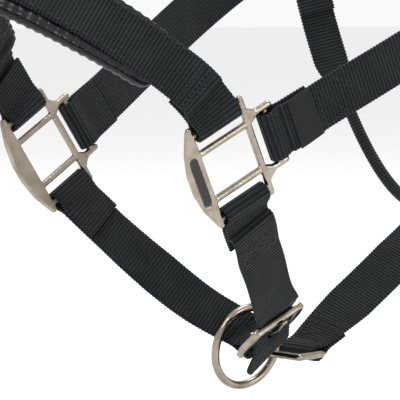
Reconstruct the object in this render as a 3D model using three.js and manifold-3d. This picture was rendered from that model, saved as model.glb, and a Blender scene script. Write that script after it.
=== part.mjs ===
// Padded headcollar in the shape it has on a horse's head, in millimetres.
// +Z is up, the nose points along -Y, and the horse's near (left) side is +X.
// The straps are laid out in a working frame whose origin lies midway between the two cheek
// squares. The whole group is then moved so that its origin is on the underside of the crown
// pad at the poll, where the head carries it.
import * as THREE from "three";
import { mergeVertices } from "three/addons/utils/BufferGeometryUtils.js";
import Module from "manifold-3d";

const wasm = await Module();
wasm.setup();

// ---------------------------------------------------------------- driving sizes

const GAP = 0.3; // between pieces that touch
const CLEAR = 0.35; // between a fold of webbing and the bar inside it

const WEBBING_WIDTH = 25;
const WEBBING_THICKNESS = 2;
const THROAT_WIDTH = 20;
const THROAT_ROLL = 6.4; // diameter of the rolled stretch
const SLOT_LENGTH = WEBBING_WIDTH + 1.5;

const CAST_BAR = 3.6; // width and thickness of every cast bar
const CAST_ROUND = 0.9;
const SLOT_GAP = 6.6; // open height of a strap slot in a cheek square

const HEAD_SLOPE = 28.7; // degrees, line from nose to poll above the horizontal
const SQUARE_TOE = 10.4; // degrees, cheek squares turn out towards the back
const SQUARE_LEAN = 12.9; // degrees, their lower edges lean in
const SQUARE_HALF_SPAN = 70; // from the middle of the head to a square's centre
const WINDOW_WIDTH = SLOT_LENGTH; // a cheek square's window is as wide as its strap slots
const WINDOW_HEIGHT = 21;
const CRESCENT_DEPTH = 10.5;

const NOSE_BRIDGE = new THREE.Vector3(0, -99, 91);
const NOSE_RISE = 32; // how far the noseband runs straight up off a square before it curves
const NOSE_FLAT = 30; // half width of the flat of the nose
const NOSE_PAD_WIDTH = 37;
const NOSE_PAD_END_WIDTH = 28;
const NOSE_PAD_THICKNESS = 8.5;
const NOSE_PAD_START = 36; // from a square's bar to the end of the pad

const RING_CENTRE = new THREE.Vector3(90, 186, 111);
const UPPER_RING_RADIUS = 24;
const UPPER_RING_WIRE = 4.4;
const CROWN_ANGLE = 57; // degrees, direction in which the crown leaves an upper ring
const THROAT_ANGLE = -76;

const POLL = new THREE.Vector3(0, 279, 262);
const POLL_FLAT = 60;
const CROWN_PAD_WIDTH = 38;
const CROWN_PAD_THICKNESS = 8;
const CROWN_PAD_LENGTH = 156;
const CHAPE_LENGTH = 52; // upper ring to the crown buckle's heel bar

const BUCKLE_LENGTH = 22; // heel bar to front bar
const BUCKLE_SIDE = 4.6; // width of a side plate at its ends
const BUCKLE_BELLY = 2.2; // how far a side plate swells in the middle
const TONGUE_WIDTH = 3.4;
const TONGUE_THICKNESS = 2;
const PUNCH_DIAMETER = 7.6;
const HOLE_PITCH = 18;
const CROWN_TIP = 40; // billet beyond the crown buckle's heel bar
const CHIN_ENTRY = 5; // the billet reaches the buckle this far before its front bar
const CHIN_TIP = 16;
const CHIN_TIP_LIFT = 1; // how far the chin billet's end stands off
const CHIN_TIP_TWIST = 10; // degrees, turn of that end
const CHIN_TIP_WIDTH = 15;
const CHIN_LEAN = 25; // degrees, how far the chin straps lean in below the squares
const CHIN_ARRIVE = new THREE.Vector3(0.9, 0.16, -0.37); // direction of the strap at its buckle

const LEAD_RING_INNER = 18.2;
const LEAD_RING_WIRE = 4.2;

const LEAD_RING_FACING = new THREE.Vector3(0.98, 0.02, -0.19);

const JAW_PLACE = new THREE.Vector3(-6.979, 107.795, -97.446); // the loop's bar, before it is
// moved out along the chin buckle's z axis by the billet that lies between them
const JAW_LOOP_DEPTH = 11.6; // open depth of the jaw strap's loop
const JAW_LOOP_WIRE = 3.8;
const THROAT_LOW = new THREE.Vector3(0, 203, -33);
const THROAT_BEND = 30; // how gently the throat lash turns up beside the jaw strap
const THROAT_FLAT = 46; // flat webbing at each end of the throat lash
const THROAT_TAPER = 26; // length over which it rolls up

const HOOK_LENGTH = 34; // upper ring's wire to the snap's strap bar
const HOOK_RADIUS = 9.8;
const HOOK_CENTRE = 5;
const HOOK_FOOT = 19;
const GATE_TOP = 5;
const GATE_PIVOT = 15.6;
const GATE_THICKNESS = 3.2;
const PIN_RADIUS = 0.8;
const POST_RADIUS = 2;

const LEAD_RING_BACK = 11; // from the chin buckle's heel bar back along the chin strap
const SEWN_RETURN = 24; // length of the sewn layer behind each fold
const STEP = 8; // spacing of the sections along straps and pads
const PAD_WALL = 1.2; // thickness of a pad's cover
const PAD_GAP = 0.45; // between a pad and its strap, because the two twist together
const PAD_EDGE = 0.55; // a pad's thickness at its edges, as a share of its middle
const LABEL_START = 10;
const LABEL_LENGTH = 15;
const LABEL_THICKNESS = 0.5;
const KEEPER_BACK = 24; // crown buckle's heel bar to the middle of the keeper
const KEEPER_LENGTH = 9;

// ---------------------------------------------------------------- small tools

const vec = (x, y, z) => new THREE.Vector3(x, y, z);
const radians = THREE.MathUtils.degToRad;
const DOUBLE = (WEBBING_THICKNESS + GAP) / 2; // each layer's distance from the middle of two

/** Copy of a vector, on the near side (+1) or mirrored to the far side (-1). */
const onSide = (v, side) => vec(v.x * side, v.y, v.z);

/** Unit vector in the head's upright middle plane, at an angle above the horizontal. */
const inPlane = (degrees) => vec(0, Math.cos(radians(degrees)), Math.sin(radians(degrees)));

/** Turns any geometry into a bare one with shared corners. */
function bare(geometry) {
  const copy = geometry.clone();
  for (const name of Object.keys(copy.attributes)) {
    if (name !== "position") copy.deleteAttribute(name);
  }
  return mergeVertices(copy, 1e-4);
}

function toSolid(geometry) {
  const merged = bare(geometry);
  return new wasm.Manifold(new wasm.Mesh({
    numProp: 3,
    vertProperties: new Float32Array(merged.attributes.position.array),
    triVerts: new Uint32Array(merged.index.array),
  }));
}

function toGeometry(solid) {
  const mesh = solid.getMesh();
  const geometry = new THREE.BufferGeometry();
  geometry.setAttribute("position", new THREE.BufferAttribute(mesh.vertProperties, 3));
  geometry.setIndex(new THREE.BufferAttribute(mesh.triVerts, 1));
  return geometry;
}

function cut(geometry, ...tools) {
  let solid = toSolid(geometry);
  for (const tool of tools) solid = solid.subtract(toSolid(tool));
  return toGeometry(solid);
}

function join(...pieces) {
  let solid = toSolid(pieces[0]);
  for (const piece of pieces.slice(1)) solid = solid.add(toSolid(piece));
  return toGeometry(solid);
}

/** Right-handed frame from an origin, an x direction and a rough y direction. */
function frame(origin, x, y) {
  const ex = x.clone().normalize();
  const ez = ex.clone().cross(y).normalize();
  const ey = ez.clone().cross(ex);
  return { o: origin.clone(), x: ex, y: ey, z: ez };
}

const frameMatrix = (f) => new THREE.Matrix4().makeBasis(f.x, f.y, f.z).setPosition(f.o);
const inFrame = (f, x, y, z) => f.o.clone()
  .addScaledVector(f.x, x).addScaledVector(f.y, y).addScaledVector(f.z, z);

// ---------------------------------------------------------------- straps

/** A line through space with a width direction along it, measured in millimetres from its start. */
class Route {
  constructor(curve, across) {
    this.curve = curve;
    this.across = across;
    this.length = curve.getLength();
  }

  /** Place, direction, width direction and outward direction at a distance along the line. */
  at(distance) {
    const share = THREE.MathUtils.clamp(distance / this.length, 0, 1);
    const t = this.curve.getTangentAt(share);
    const p = this.curve.getPointAt(share).addScaledVector(t, distance - share * this.length);
    const span = share * (this.across.length - 1);
    const i = Math.min(Math.floor(span), this.across.length - 2);
    const b = this.across[i].clone().lerp(this.across[i + 1], span - i);
    b.addScaledVector(t, -b.dot(t)).normalize();
    return { p, t, b, n: t.clone().cross(b) };
  }

  /** Distances between two ends; the inner ones lie on one grid for all that follow the line. */
  spread(from, to, step) {
    const count = 2 * Math.floor(this.length / step / 2) + 1;
    const pitch = this.length / count;
    const distances = [from];
    for (let i = 1; i < count; i += 1) {
      const distance = i * pitch;
      if (distance > from + pitch / 2 && distance < to - pitch / 2) distances.push(distance);
    }
    return [...distances, to];
  }

  /** Station at a distance along the line and a height above it. */
  lift(distance, height) {
    const f = this.at(distance);
    return { p: f.p.addScaledVector(f.n, height), b: f.b, distance };
  }
}

/**
 * Side profile of a fold round a bar, as [distance, height] pairs that run from the sewn end,
 * round the bar at distance 0, to the top layer at the same distance as the sewn end.
 */
function foldProfile(reach, sewn, slack = 0) {
  const radius = reach + CLEAR + WEBBING_THICKNESS / 2;
  const layer = [];
  const close = slack + 9;
  for (const distance of [sewn, (sewn + close) / 2, close, close * 0.7, close * 0.4]) {
    const open = THREE.MathUtils.smoothstep(close - distance, 0, close - slack);
    layer.push([distance, DOUBLE + (radius - DOUBLE) * open]);
  }
  layer.push([0, radius]);
  const bend = [];
  for (let i = 0; i <= 6; i += 1) {
    const angle = Math.PI * (i / 6);
    bend.push([-slack - radius * Math.sin(angle), -radius * Math.cos(angle)]);
  }
  const under = layer.map(([distance, height]) => [distance, -height]);
  return [...under, ...bend, ...layer.reverse()];
}

/**
 * Stations of a strap between two ends, where a fold at an end is { reach, sewn, slack }, and
 * height(distance) is the height of the top layer between the folds.
 */
function strapStations(route, { start, end, step = STEP, height = () => DOUBLE, stop = 0 }) {
  const profile = [];
  if (start) profile.push(...foldProfile(start.reach, start.sewn, start.slack));
  const from = start ? start.sewn : 0;
  const to = route.length - (end ? end.sewn : stop);
  const between = route.spread(from, to, step);
  if (start) between.shift();
  if (end) between.pop();
  for (const distance of between) profile.push([distance, height(distance)]);
  if (end) {
    const fold = foldProfile(end.reach, end.sewn, end.slack).reverse();
    profile.push(...fold.map(([distance, rise]) => [route.length - distance, rise]));
  }
  return profile.map(([distance, rise]) => route.lift(distance, rise));
}

/**
 * A flat band through stations. It is a box whose sections are carried to the stations, and
 * section(station) gives each one's width, thickness and how far it is rolled round (0 to 1).
 */
function bandGeometry(stations, section, cells = [1, 1]) {
  const last = stations.length - 1;
  const box = new THREE.BoxGeometry(1, 1, 1, cells[0], cells[1], last);
  const position = box.attributes.position;
  for (let i = 0; i < position.count; i += 1) {
    const share = position.getZ(i) + 0.5;
    const k = Math.round(share * last);
    const here = stations[k];
    const t = stations[Math.min(k + 1, last)].p.clone().sub(stations[Math.max(k - 1, 0)].p);
    t.normalize();
    const b = here.b.clone().addScaledVector(t, -here.b.dot(t)).normalize();
    const n = t.clone().cross(b);
    const { width, thickness, rolled = 0, crown = null } = section(here);
    let x = position.getX(i);
    let y = position.getY(i);
    const edge = Math.max(Math.abs(x), Math.abs(y));
    const long = Math.hypot(x, y);
    const roundX = long > 0 ? (x / long) * edge : 0;
    const roundY = long > 0 ? (y / long) * edge : 0;
    const fall = crown ? crown(Math.abs(x) * 2) : 1;
    x = THREE.MathUtils.lerp(x, roundX, rolled) * width;
    y = THREE.MathUtils.lerp(y, roundY, rolled) * thickness * fall;
    const point = here.p.clone().addScaledVector(b, x).addScaledVector(n, y);
    position.setXYZ(i, point.x, point.y, point.z);
  }
  return box;
}

const webbing = (stations) => bandGeometry(stations,
  () => ({ width: WEBBING_WIDTH, thickness: WEBBING_THICKNESS }), [2, 1]);

// ---------------------------------------------------------------- pads

/** Cover and foam of a pad that lies under a strap, between two distances along its route. */
function padPair(route, from, to, sizes) {
  const under = DOUBLE - WEBBING_THICKNESS / 2 - PAD_GAP - sizes.thickness / 2;
  const grid = route.spread(from, to, STEP);
  const body = (distances, wall) => {
    const stations = distances.map((distance) => route.lift(distance, under));
    const section = ({ distance }) => {
      const share = THREE.MathUtils.clamp((distance - from) / (to - from), 0, 1);
      const middle = Math.sin(Math.PI * share) ** 0.6;
      const width = THREE.MathUtils.lerp(sizes.endWidth, sizes.width, middle) - 2 * wall;
      const crown = (x) => 1 - (1 - PAD_EDGE) * x ** 4;
      return { width, thickness: sizes.thickness - 2 * wall, crown };
    };
    return bandGeometry(stations, section, [3, 1]);
  };
  const beyond = 4;
  const cover = cut(body(grid, 0), body([from - beyond, ...grid, to + beyond], PAD_WALL));
  const foam = body(grid.slice(1, -1), PAD_WALL + GAP);
  return { cover, foam };
}

// ---------------------------------------------------------------- castings and wires

function roundedRect(path, x0, y0, x1, y1, r) {
  path.moveTo(x0 + r, y0);
  path.lineTo(x1 - r, y0);
  path.quadraticCurveTo(x1, y0, x1, y0 + r);
  path.lineTo(x1, y1 - r);
  path.quadraticCurveTo(x1, y1, x1 - r, y1);
  path.lineTo(x0 + r, y1);
  path.quadraticCurveTo(x0, y1, x0, y1 - r);
  path.lineTo(x0, y0 + r);
  path.quadraticCurveTo(x0, y0, x0 + r, y0);
  return path;
}

/** A flat casting of an outline with holes, centred on its thickness, with rounded edges. */
function casting(shape, thickness = CAST_BAR, round = CAST_ROUND) {
  const geometry = new THREE.ExtrudeGeometry(shape, {
    depth: thickness - 2 * round,
    bevelEnabled: true,
    bevelThickness: round,
    bevelSize: round,
    bevelOffset: -round,
    bevelSegments: 2,
    curveSegments: 5,
  });
  return geometry.translate(0, 0, -thickness / 2 + round);
}

/** A ring of round wire in the frame's x-y plane. */
function wireRing(f, radius, wire, around = 40) {
  return new THREE.TorusGeometry(radius, wire / 2, 8, around).applyMatrix4(frameMatrix(f));
}

/** A plain rod with round section along the frame's z axis. */
function rod(f, radius, from, to, sides = 16) {
  const geometry = new THREE.CylinderGeometry(radius, radius, to - from, sides);
  geometry.rotateX(Math.PI / 2).translate(0, 0, (from + to) / 2);
  return geometry.applyMatrix4(frameMatrix(f));
}

// ---------------------------------------------------------------- cheek squares

const WINDOW_X = WINDOW_WIDTH / 2;
const WINDOW_Y = WINDOW_HEIGHT / 2;
const SLOT_HALF = SLOT_LENGTH / 2;
const OUTER_BAR = CAST_BAR + SLOT_GAP + CAST_BAR / 2; // window's edge to an outer bar's middle

/** x runs back along the cheek, y up to the noseband, z towards the near side. */
function squareFrame(side) {
  const toe = new THREE.Matrix4().makeRotationZ(-radians(SQUARE_TOE));
  const back = inPlane(HEAD_SLOPE).applyMatrix4(toe);
  const up = inPlane(HEAD_SLOPE + 90).applyMatrix4(toe);
  up.applyAxisAngle(back, radians(SQUARE_LEAN));
  const centre = vec(SQUARE_HALF_SPAN, 0, 0);
  return frame(onSide(centre, side), onSide(back, side), onSide(up, side));
}

/** A bar with round ends between two points of a casting's plane. */
function bar([x0, y0], [x1, y1], diameter = CAST_BAR) {
  const length = Math.hypot(x1 - x0, y1 - y0);
  const geometry = new THREE.CapsuleGeometry(diameter / 2, length, 2, 8);
  geometry.rotateZ(Math.atan2(y1 - y0, x1 - x0) - Math.PI / 2);
  return geometry.translate((x0 + x1) / 2, (y0 + y1) / 2, 0);
}

function flatPlate(shape, thickness) {
  const options = { depth: thickness, bevelEnabled: false, curveSegments: 6 };
  return new THREE.ExtrudeGeometry(shape, options).translate(0, 0, -thickness / 2);
}

/** Bars, rails and webs of the upper half; the lower half is the same turned over. */
function squareHalf(flip) {
  const half = CAST_BAR / 2;
  const postX = WINDOW_X + half;
  const barY = WINDOW_Y + half;
  const outerY = WINDOW_Y + OUTER_BAR;
  const outerX = WINDOW_X + OUTER_BAR;
  const railY = SLOT_HALF + half;
  const horn = 3; // how far a horn stands beyond its outer bar
  const flareX = postX + 5;
  const at = (x, y) => [x, y * flip];
  const web = new THREE.Shape();
  web.moveTo(...at(postX, outerY - 1));
  web.quadraticCurveTo(...at(postX + 2.5, railY + 2.5), ...at(outerX - 1, railY));
  web.lineTo(...at(flareX, railY));
  web.lineTo(...at(postX, barY));
  web.closePath();
  return [
    bar(at(-postX, barY), at(postX, barY)),
    bar(at(-postX, outerY), at(postX, outerY)),
    bar(at(-postX, barY), at(-postX, outerY + horn)),
    bar(at(postX, barY), at(postX, outerY + horn)),
    bar(at(postX, barY), at(flareX, railY)),
    bar(at(flareX, railY), at(outerX + horn, railY)),
    flatPlate(web, CAST_BAR - 0.8),
  ];
}

function crescent() {
  const inner = -WINDOW_X - 0.3;
  const top = WINDOW_Y + OUTER_BAR + 1.5;
  const neck = inner - CAST_BAR + 0.4;
  const shape = new THREE.Shape();
  shape.moveTo(inner, -top);
  shape.lineTo(inner, top);
  shape.lineTo(neck, top + 1.5);
  shape.quadraticCurveTo(neck - 2 * (CRESCENT_DEPTH - CAST_BAR), 0, neck, -top - 1.5);
  shape.closePath();
  return casting(shape, CAST_BAR - 0.2, CAST_ROUND);
}

/** The casting with a plain sunk oval on the outside of its crescent plate. */
function cheekSquare(side) {
  const half = CAST_BAR / 2;
  const posts = [
    bar([WINDOW_X + half, -WINDOW_Y], [WINDOW_X + half, WINDOW_Y]),
    bar([WINDOW_X + OUTER_BAR, -SLOT_HALF], [WINDOW_X + OUTER_BAR, SLOT_HALF]),
  ];
  const whole = join(crescent(), ...posts, ...squareHalf(1), ...squareHalf(-1));
  const oval = new THREE.Shape();
  const middle = -WINDOW_X - CRESCENT_DEPTH / 2 + 0.2;
  roundedRect(oval, middle - 2.5, -13, middle + 2.5, 13, 2.4);
  const sunk = flatPlate(oval, 2);
  sunk.translate(0, 0, side * (CAST_BAR / 2 + 0.1));
  return cut(whole, sunk).applyMatrix4(frameMatrix(squareFrame(side)));
}

// ---------------------------------------------------------------- buckles

/** Frame of a buckle: x across the strap, y from heel bar to front bar, z outward. */
function buckleBody(f) {
  const inside = SLOT_HALF;
  const outside = SLOT_HALF + BUCKLE_SIDE;
  const heel = -CAST_BAR / 2;
  const front = BUCKLE_LENGTH + CAST_BAR / 2;
  const middle = BUCKLE_LENGTH / 2;
  const round = 4;
  const shape = new THREE.Shape();
  shape.moveTo(-outside + round, heel);
  shape.lineTo(outside - round, heel);
  shape.quadraticCurveTo(outside, heel, outside, heel + round);
  shape.quadraticCurveTo(outside + 2 * BUCKLE_BELLY, middle, outside, front - round);
  shape.quadraticCurveTo(outside, front, outside - round, front);
  shape.lineTo(-outside + round, front);
  shape.quadraticCurveTo(-outside, front, -outside, front - round);
  shape.quadraticCurveTo(-outside - 2 * BUCKLE_BELLY, middle, -outside, heel + round);
  shape.quadraticCurveTo(-outside, heel, -outside + round, heel);
  const hole = roundedRect(new THREE.Path(), -inside, CAST_BAR / 2, inside,
    BUCKLE_LENGTH - CAST_BAR / 2, 1.2);
  shape.holes.push(hole);
  return casting(shape).applyMatrix4(frameMatrix(f));
}

const BAR_REACH = CAST_BAR / 2 + 0.35; // farthest corner of a rounded bar from its middle
const EYE_INNER = BAR_REACH + CLEAR;
const EYE_OUTER = EYE_INNER + 1.6;
const FRONT_REST = CAST_BAR / 2 + GAP + TONGUE_THICKNESS / 2; // tongue's height over the front bar

/** The tongue: an eye round the heel bar and a prong that rests on the front bar. */
function buckleTongue(f) {
  const half = TONGUE_THICKNESS / 2;
  const end = BUCKLE_LENGTH + 3;
  const rise = BUCKLE_LENGTH - CAST_BAR / 2 - 1;
  const shape = new THREE.Shape();
  const angle = Math.asin(half / EYE_OUTER);
  shape.absarc(0, 0, EYE_OUTER, angle, 2 * Math.PI - angle, false);
  shape.lineTo(EYE_OUTER + 1, -half);
  shape.lineTo(rise, FRONT_REST - half);
  shape.lineTo(end, FRONT_REST - half);
  shape.quadraticCurveTo(end + 1, FRONT_REST, end, FRONT_REST + half);
  shape.lineTo(rise, FRONT_REST + half);
  shape.lineTo(EYE_OUTER + 1, half);
  shape.closePath();
  const eye = new THREE.Path();
  eye.absarc(0, 0, EYE_INNER, 0, 2 * Math.PI, true);
  shape.holes.push(eye);
  const geometry = new THREE.ExtrudeGeometry(shape, {
    depth: TONGUE_WIDTH,
    bevelEnabled: false,
    curveSegments: 14,
  });
  geometry.translate(0, 0, -TONGUE_WIDTH / 2);
  const turned = { o: f.o, x: f.y, y: f.z, z: f.x };
  return geometry.applyMatrix4(frameMatrix(turned));
}

/** Heights of a billet over a buckle's y axis: under the front bar, out over the heel bar. */
const BILLET_UNDER = -(CAST_BAR / 2 + GAP + WEBBING_THICKNESS / 2);
const FOLD_OUTSIDE = BAR_REACH + CLEAR + WEBBING_THICKNESS;
const BILLET_OVER = FOLD_OUTSIDE + GAP + WEBBING_THICKNESS / 2;
const BILLET_TURN_FROM = BUCKLE_LENGTH - CAST_BAR / 2 - 1;
const BILLET_TURN_TO = 2;

function billetHeight(y) {
  const share = (BILLET_TURN_FROM - y) / (BILLET_TURN_FROM - BILLET_TURN_TO);
  return THREE.MathUtils.lerp(BILLET_UNDER, BILLET_OVER, THREE.MathUtils.clamp(share, 0, 1));
}

/** Where the prong's middle line and the billet meet, along the buckle's y axis. */
function pinchPoint() {
  const slope = FRONT_REST / (BILLET_TURN_FROM - EYE_OUTER);
  const fall = (BILLET_OVER - BILLET_UNDER) / (BILLET_TURN_FROM - BILLET_TURN_TO);
  return (BILLET_OVER + fall * BILLET_TURN_TO + slope * EYE_OUTER) / (slope + fall);
}

/** Diameter that lets the prong slant through the billet with room round it. */
function punchDiameter() {
  const slope = FRONT_REST / (BILLET_TURN_FROM - EYE_OUTER);
  const fall = (BILLET_OVER - BILLET_UNDER) / (BILLET_TURN_FROM - BILLET_TURN_TO);
  const billet = WEBBING_THICKNESS / 2 * Math.hypot(1, fall);
  const prong = TONGUE_THICKNESS / 2 * Math.hypot(1, slope);
  const reach = (billet + prong) / (slope + fall) + GAP;
  return Math.max(PUNCH_DIAMETER, 2 * Math.hypot(reach, TONGUE_WIDTH / 2));
}

/** Round cutter for one punched hole, along a direction. */
function punch(centre, direction, diameter = punchDiameter()) {
  const side = Math.abs(direction.x) > 0.9 ? vec(0, 1, 0) : vec(1, 0, 0);
  const x = side.addScaledVector(direction, -side.dot(direction));
  const f = frame(centre, x, direction.clone().cross(x));
  return rod(f, diameter / 2, -5, 5);
}

/** Slot in a fold for the tongue's eye. */
function tongueSlot(f) {
  const width = TONGUE_WIDTH + 3;
  const box = new THREE.BoxGeometry(width, 15, 14);
  return box.applyMatrix4(frameMatrix(f));
}

/** Stations of a billet through a buckle, from y down to the heel bar at y = 0. */
function billetStations(f, from) {
  const places = [BUCKLE_LENGTH + 6, BUCKLE_LENGTH, 18, 15, 12, 9, 6, 3, 0];
  return [from, ...places.filter((y) => y < from)]
    .map((y) => ({ p: inFrame(f, 0, y, billetHeight(y)), b: f.x.clone() }));
}

// ---------------------------------------------------------------- throat snap

/** Disc or tube along the snap's y axis. */
function turned(radius, y0, y1) {
  const geometry = new THREE.CylinderGeometry(radius, radius, y1 - y0, 16);
  return geometry.translate(0, (y0 + y1) / 2, 0);
}

/** Disc along the snap's z axis. */
function disc(radius, x, y, z0, z1) {
  const geometry = new THREE.CylinderGeometry(radius, radius, z1 - z0, 12);
  return geometry.rotateX(Math.PI / 2).translate(x, y, (z0 + z1) / 2);
}

const block = (x0, y0, z0, x1, y1, z1) => new THREE.BoxGeometry(x1 - x0, y1 - y0, z1 - z0)
  .translate((x0 + x1) / 2, (y0 + y1) / 2, (z0 + z1) / 2);

const BOSS_END = 24.6;
const EYE_CROSS = 27.2;
const EAR_FROM = GATE_THICKNESS / 2 + GAP;
const EAR_TO = EAR_FROM + 1.3;

/** Hook of the snap: y points down the throat, x away from the cheek, the ring's wire at 0,0. */
function snapHook() {
  const arc = [];
  const steps = 9;
  for (let i = 0; i <= steps; i += 1) {
    const angle = Math.PI + (radians(155) * i) / steps;
    arc.push([HOOK_RADIUS * Math.cos(angle), HOOK_CENTRE + HOOK_RADIUS * Math.sin(angle)]);
  }
  const pieces = arc.slice(1).map((point, i) => bar(arc[i], point));
  pieces.push(bar([-HOOK_RADIUS, HOOK_CENTRE], [-HOOK_RADIUS, HOOK_FOOT]));
  pieces.push(bar([-HOOK_RADIUS, HOOK_FOOT], [HOOK_RADIUS, HOOK_FOOT + 0.5]));
  pieces.push(turned(4.4, HOOK_FOOT - 1.5, BOSS_END));
  pieces.push(block(HOOK_RADIUS - 1.8, HOOK_FOOT - 0.6, -EAR_TO, HOOK_RADIUS + 1.8,
    HOOK_FOOT + 2, EAR_TO));
  for (const [z0, z1] of [[EAR_FROM, EAR_TO], [-EAR_TO, -EAR_FROM]]) {
    pieces.push(disc(2.4, HOOK_RADIUS, GATE_PIVOT, z0, z1));
    pieces.push(block(HOOK_RADIUS - 1.8, GATE_PIVOT, z0, HOOK_RADIUS + 1.8, HOOK_FOOT + 1, z1));
  }
  return cut(join(...pieces), turned(POST_RADIUS + GAP, HOOK_FOOT - 4, BOSS_END + 2),
    disc(PIN_RADIUS + GAP, HOOK_RADIUS, GATE_PIVOT, -6, 6));
}

function snapGate() {
  const gate = bar([HOOK_RADIUS, GATE_TOP], [HOOK_RADIUS, GATE_PIVOT], GATE_THICKNESS);
  return cut(gate, disc(PIN_RADIUS + GAP, HOOK_RADIUS, GATE_PIVOT, -6, 6));
}

const snapPin = () => disc(PIN_RADIUS, HOOK_RADIUS, GATE_PIVOT, -EAR_TO, EAR_TO);

/** Swivel eye: a loop for the webbing on a post whose head sits inside the hook. */
function snapEye() {
  const half = THROAT_WIDTH / 2 + 0.75 + CAST_BAR / 2;
  const across = (geometry) => geometry.rotateY(Math.PI / 2);
  return join(
    across(bar([-half, HOOK_LENGTH], [half, HOOK_LENGTH])),
    across(bar([-half, EYE_CROSS], [half, EYE_CROSS])),
    across(bar([-half, EYE_CROSS], [-half, HOOK_LENGTH])),
    across(bar([half, EYE_CROSS], [half, HOOK_LENGTH])),
    turned(POST_RADIUS, HOOK_FOOT - 4.5, EYE_CROSS),
    turned(3.6, HOOK_FOOT - 5, HOOK_FOOT - 3),
  );
}

// ---------------------------------------------------------------- keeper

/** Loop round a billet and its chape: x across, z out of the strap, open along y. */
function keeperLoop(f, length, from, to) {
  const wall = 1.6;
  const half = WEBBING_WIDTH / 2 + 0.6;
  const shape = roundedRect(new THREE.Shape(), -half - wall, from - wall, half + wall, to + wall, 2);
  shape.holes.push(roundedRect(new THREE.Path(), -half, from, half, to, 1));
  const loop = new THREE.ExtrudeGeometry(shape, {
    depth: length, bevelEnabled: false, curveSegments: 4,
  });
  loop.translate(0, 0, -length / 2).rotateX(Math.PI / 2);
  return loop.applyMatrix4(frameMatrix(f));
}

// ---------------------------------------------------------------- frames and routes

const squares = { 1: squareFrame(1), [-1]: squareFrame(-1) };
const BAR_FOLD = { reach: BAR_REACH, sewn: SEWN_RETURN };
const ringSag = (width) => UPPER_RING_RADIUS - Math.sqrt(UPPER_RING_RADIUS ** 2 - (width / 2) ** 2);
const ringFold = (width, sewn = SEWN_RETURN) => ({
  reach: UPPER_RING_WIRE / 2,
  sewn,
  slack: ringSag(width) + GAP,
});

/** Upper ring's frame: x and y in the ring's plane, x along the crown's direction. */
function upperRingFrame(side) {
  const up = inPlane(CROWN_ANGLE).addScaledVector(vec(1, 0, 0), -0.2).normalize();
  const down = inPlane(THROAT_ANGLE).addScaledVector(vec(1, 0, 0), -0.1);
  return frame(onSide(RING_CENTRE, side), onSide(up, side), onSide(down, side));
}
const upperRings = { 1: upperRingFrame(1), [-1]: upperRingFrame(-1) };

/** Point on an upper ring's wire and the outward direction there, at an angle in the head's plane. */
function ringPoint(side, degrees) {
  const f = upperRings[side];
  const along = inPlane(degrees);
  const out = along.addScaledVector(f.z, -along.dot(f.z)).normalize();
  const point = f.o.clone().addScaledVector(out, UPPER_RING_RADIUS);
  const outward = f.z.clone().multiplyScalar(Math.sign(f.z.x) * side);
  return { point, out, outward };
}

/** Width direction that makes a strap running along t face outward. */
const facing = (outward, t) => outward.clone().cross(t).normalize();

function nosebandRoute() {
  const near = squares[1];
  const start = inFrame(near, 0, WINDOW_Y + OUTER_BAR, 0);
  const rise = start.clone().addScaledVector(near.y, NOSE_RISE);
  const flat = NOSE_BRIDGE.clone().add(vec(NOSE_FLAT, 0, 0));
  const path = new THREE.CurvePath();
  path.add(new THREE.CubicBezierCurve3(start, rise, flat, NOSE_BRIDGE));
  const back = [NOSE_BRIDGE, flat, rise, start].map((p) => onSide(p, -1));
  path.add(new THREE.CubicBezierCurve3(...back));
  path.arcLengthDivisions = 400;
  const atSquare = near.x.clone().negate();
  const atBridge = vec(0, -0.82, -0.57);
  const across = [atSquare, atBridge, onSide(atSquare, -1)];
  return new Route(path, across);
}

function cheekRoute(side) {
  const f = squares[side];
  const start = inFrame(f, WINDOW_X + OUTER_BAR, 0, 0);
  const end = ringPoint(side, 211);
  const outward = onSide(squares[1].z, side);
  const t0 = f.x;
  const t1 = end.out.clone().negate();
  const curve = new THREE.CubicBezierCurve3(start, start.clone().addScaledVector(t0, 45),
    end.point.clone().addScaledVector(end.out, 55), end.point);
  return new Route(curve, [facing(outward, t0), facing(end.outward, t1)]);
}

/** Chin buckle's frame: origin on the heel bar, x back along the bar, y up to the near side. */
const CHIN_HEEL = vec(2, 79, -94);
const chinBuckle = frame(CHIN_HEEL, vec(0, 0.917, 0.4), vec(0.81, -0.27, 0.52));
const jawBar = JAW_PLACE.clone()
  .addScaledVector(chinBuckle.z, BILLET_OVER + WEBBING_THICKNESS / 2);

/** First points of a chin strap: it hangs off a square's lower bar and leans in. */
function chinStart(side) {
  const f = squares[side];
  const bottom = inFrame(f, 0, -WINDOW_Y - OUTER_BAR, 0);
  const inward = f.z.clone().multiplyScalar(-Math.sign(f.z.x) * side);
  const lean = radians(CHIN_LEAN);
  const down = f.y.clone().multiplyScalar(-Math.cos(lean)).addScaledVector(inward, Math.sin(lean));
  return [0, 5, 11].map((distance) => bottom.clone().addScaledVector(down, distance));
}

function chinStrapRoute() {
  const arrive = chinBuckle.x.clone().cross(CHIN_ARRIVE).cross(chinBuckle.x).normalize();
  const end = [14, 6, 0].map((distance) => CHIN_HEEL.clone().addScaledVector(arrive, -distance));
  const points = [...chinStart(-1), vec(-46, 40, -53), vec(-28, 62, -76), ...end];
  const curve = new THREE.CatmullRomCurve3(points, false, "centripetal");
  const x = squares[-1].x;
  const across = [x, x, vec(0, 0.87, 0.49), chinBuckle.x, chinBuckle.x];
  return new Route(curve, across.map((v) => v.clone().negate().normalize()));
}

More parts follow.
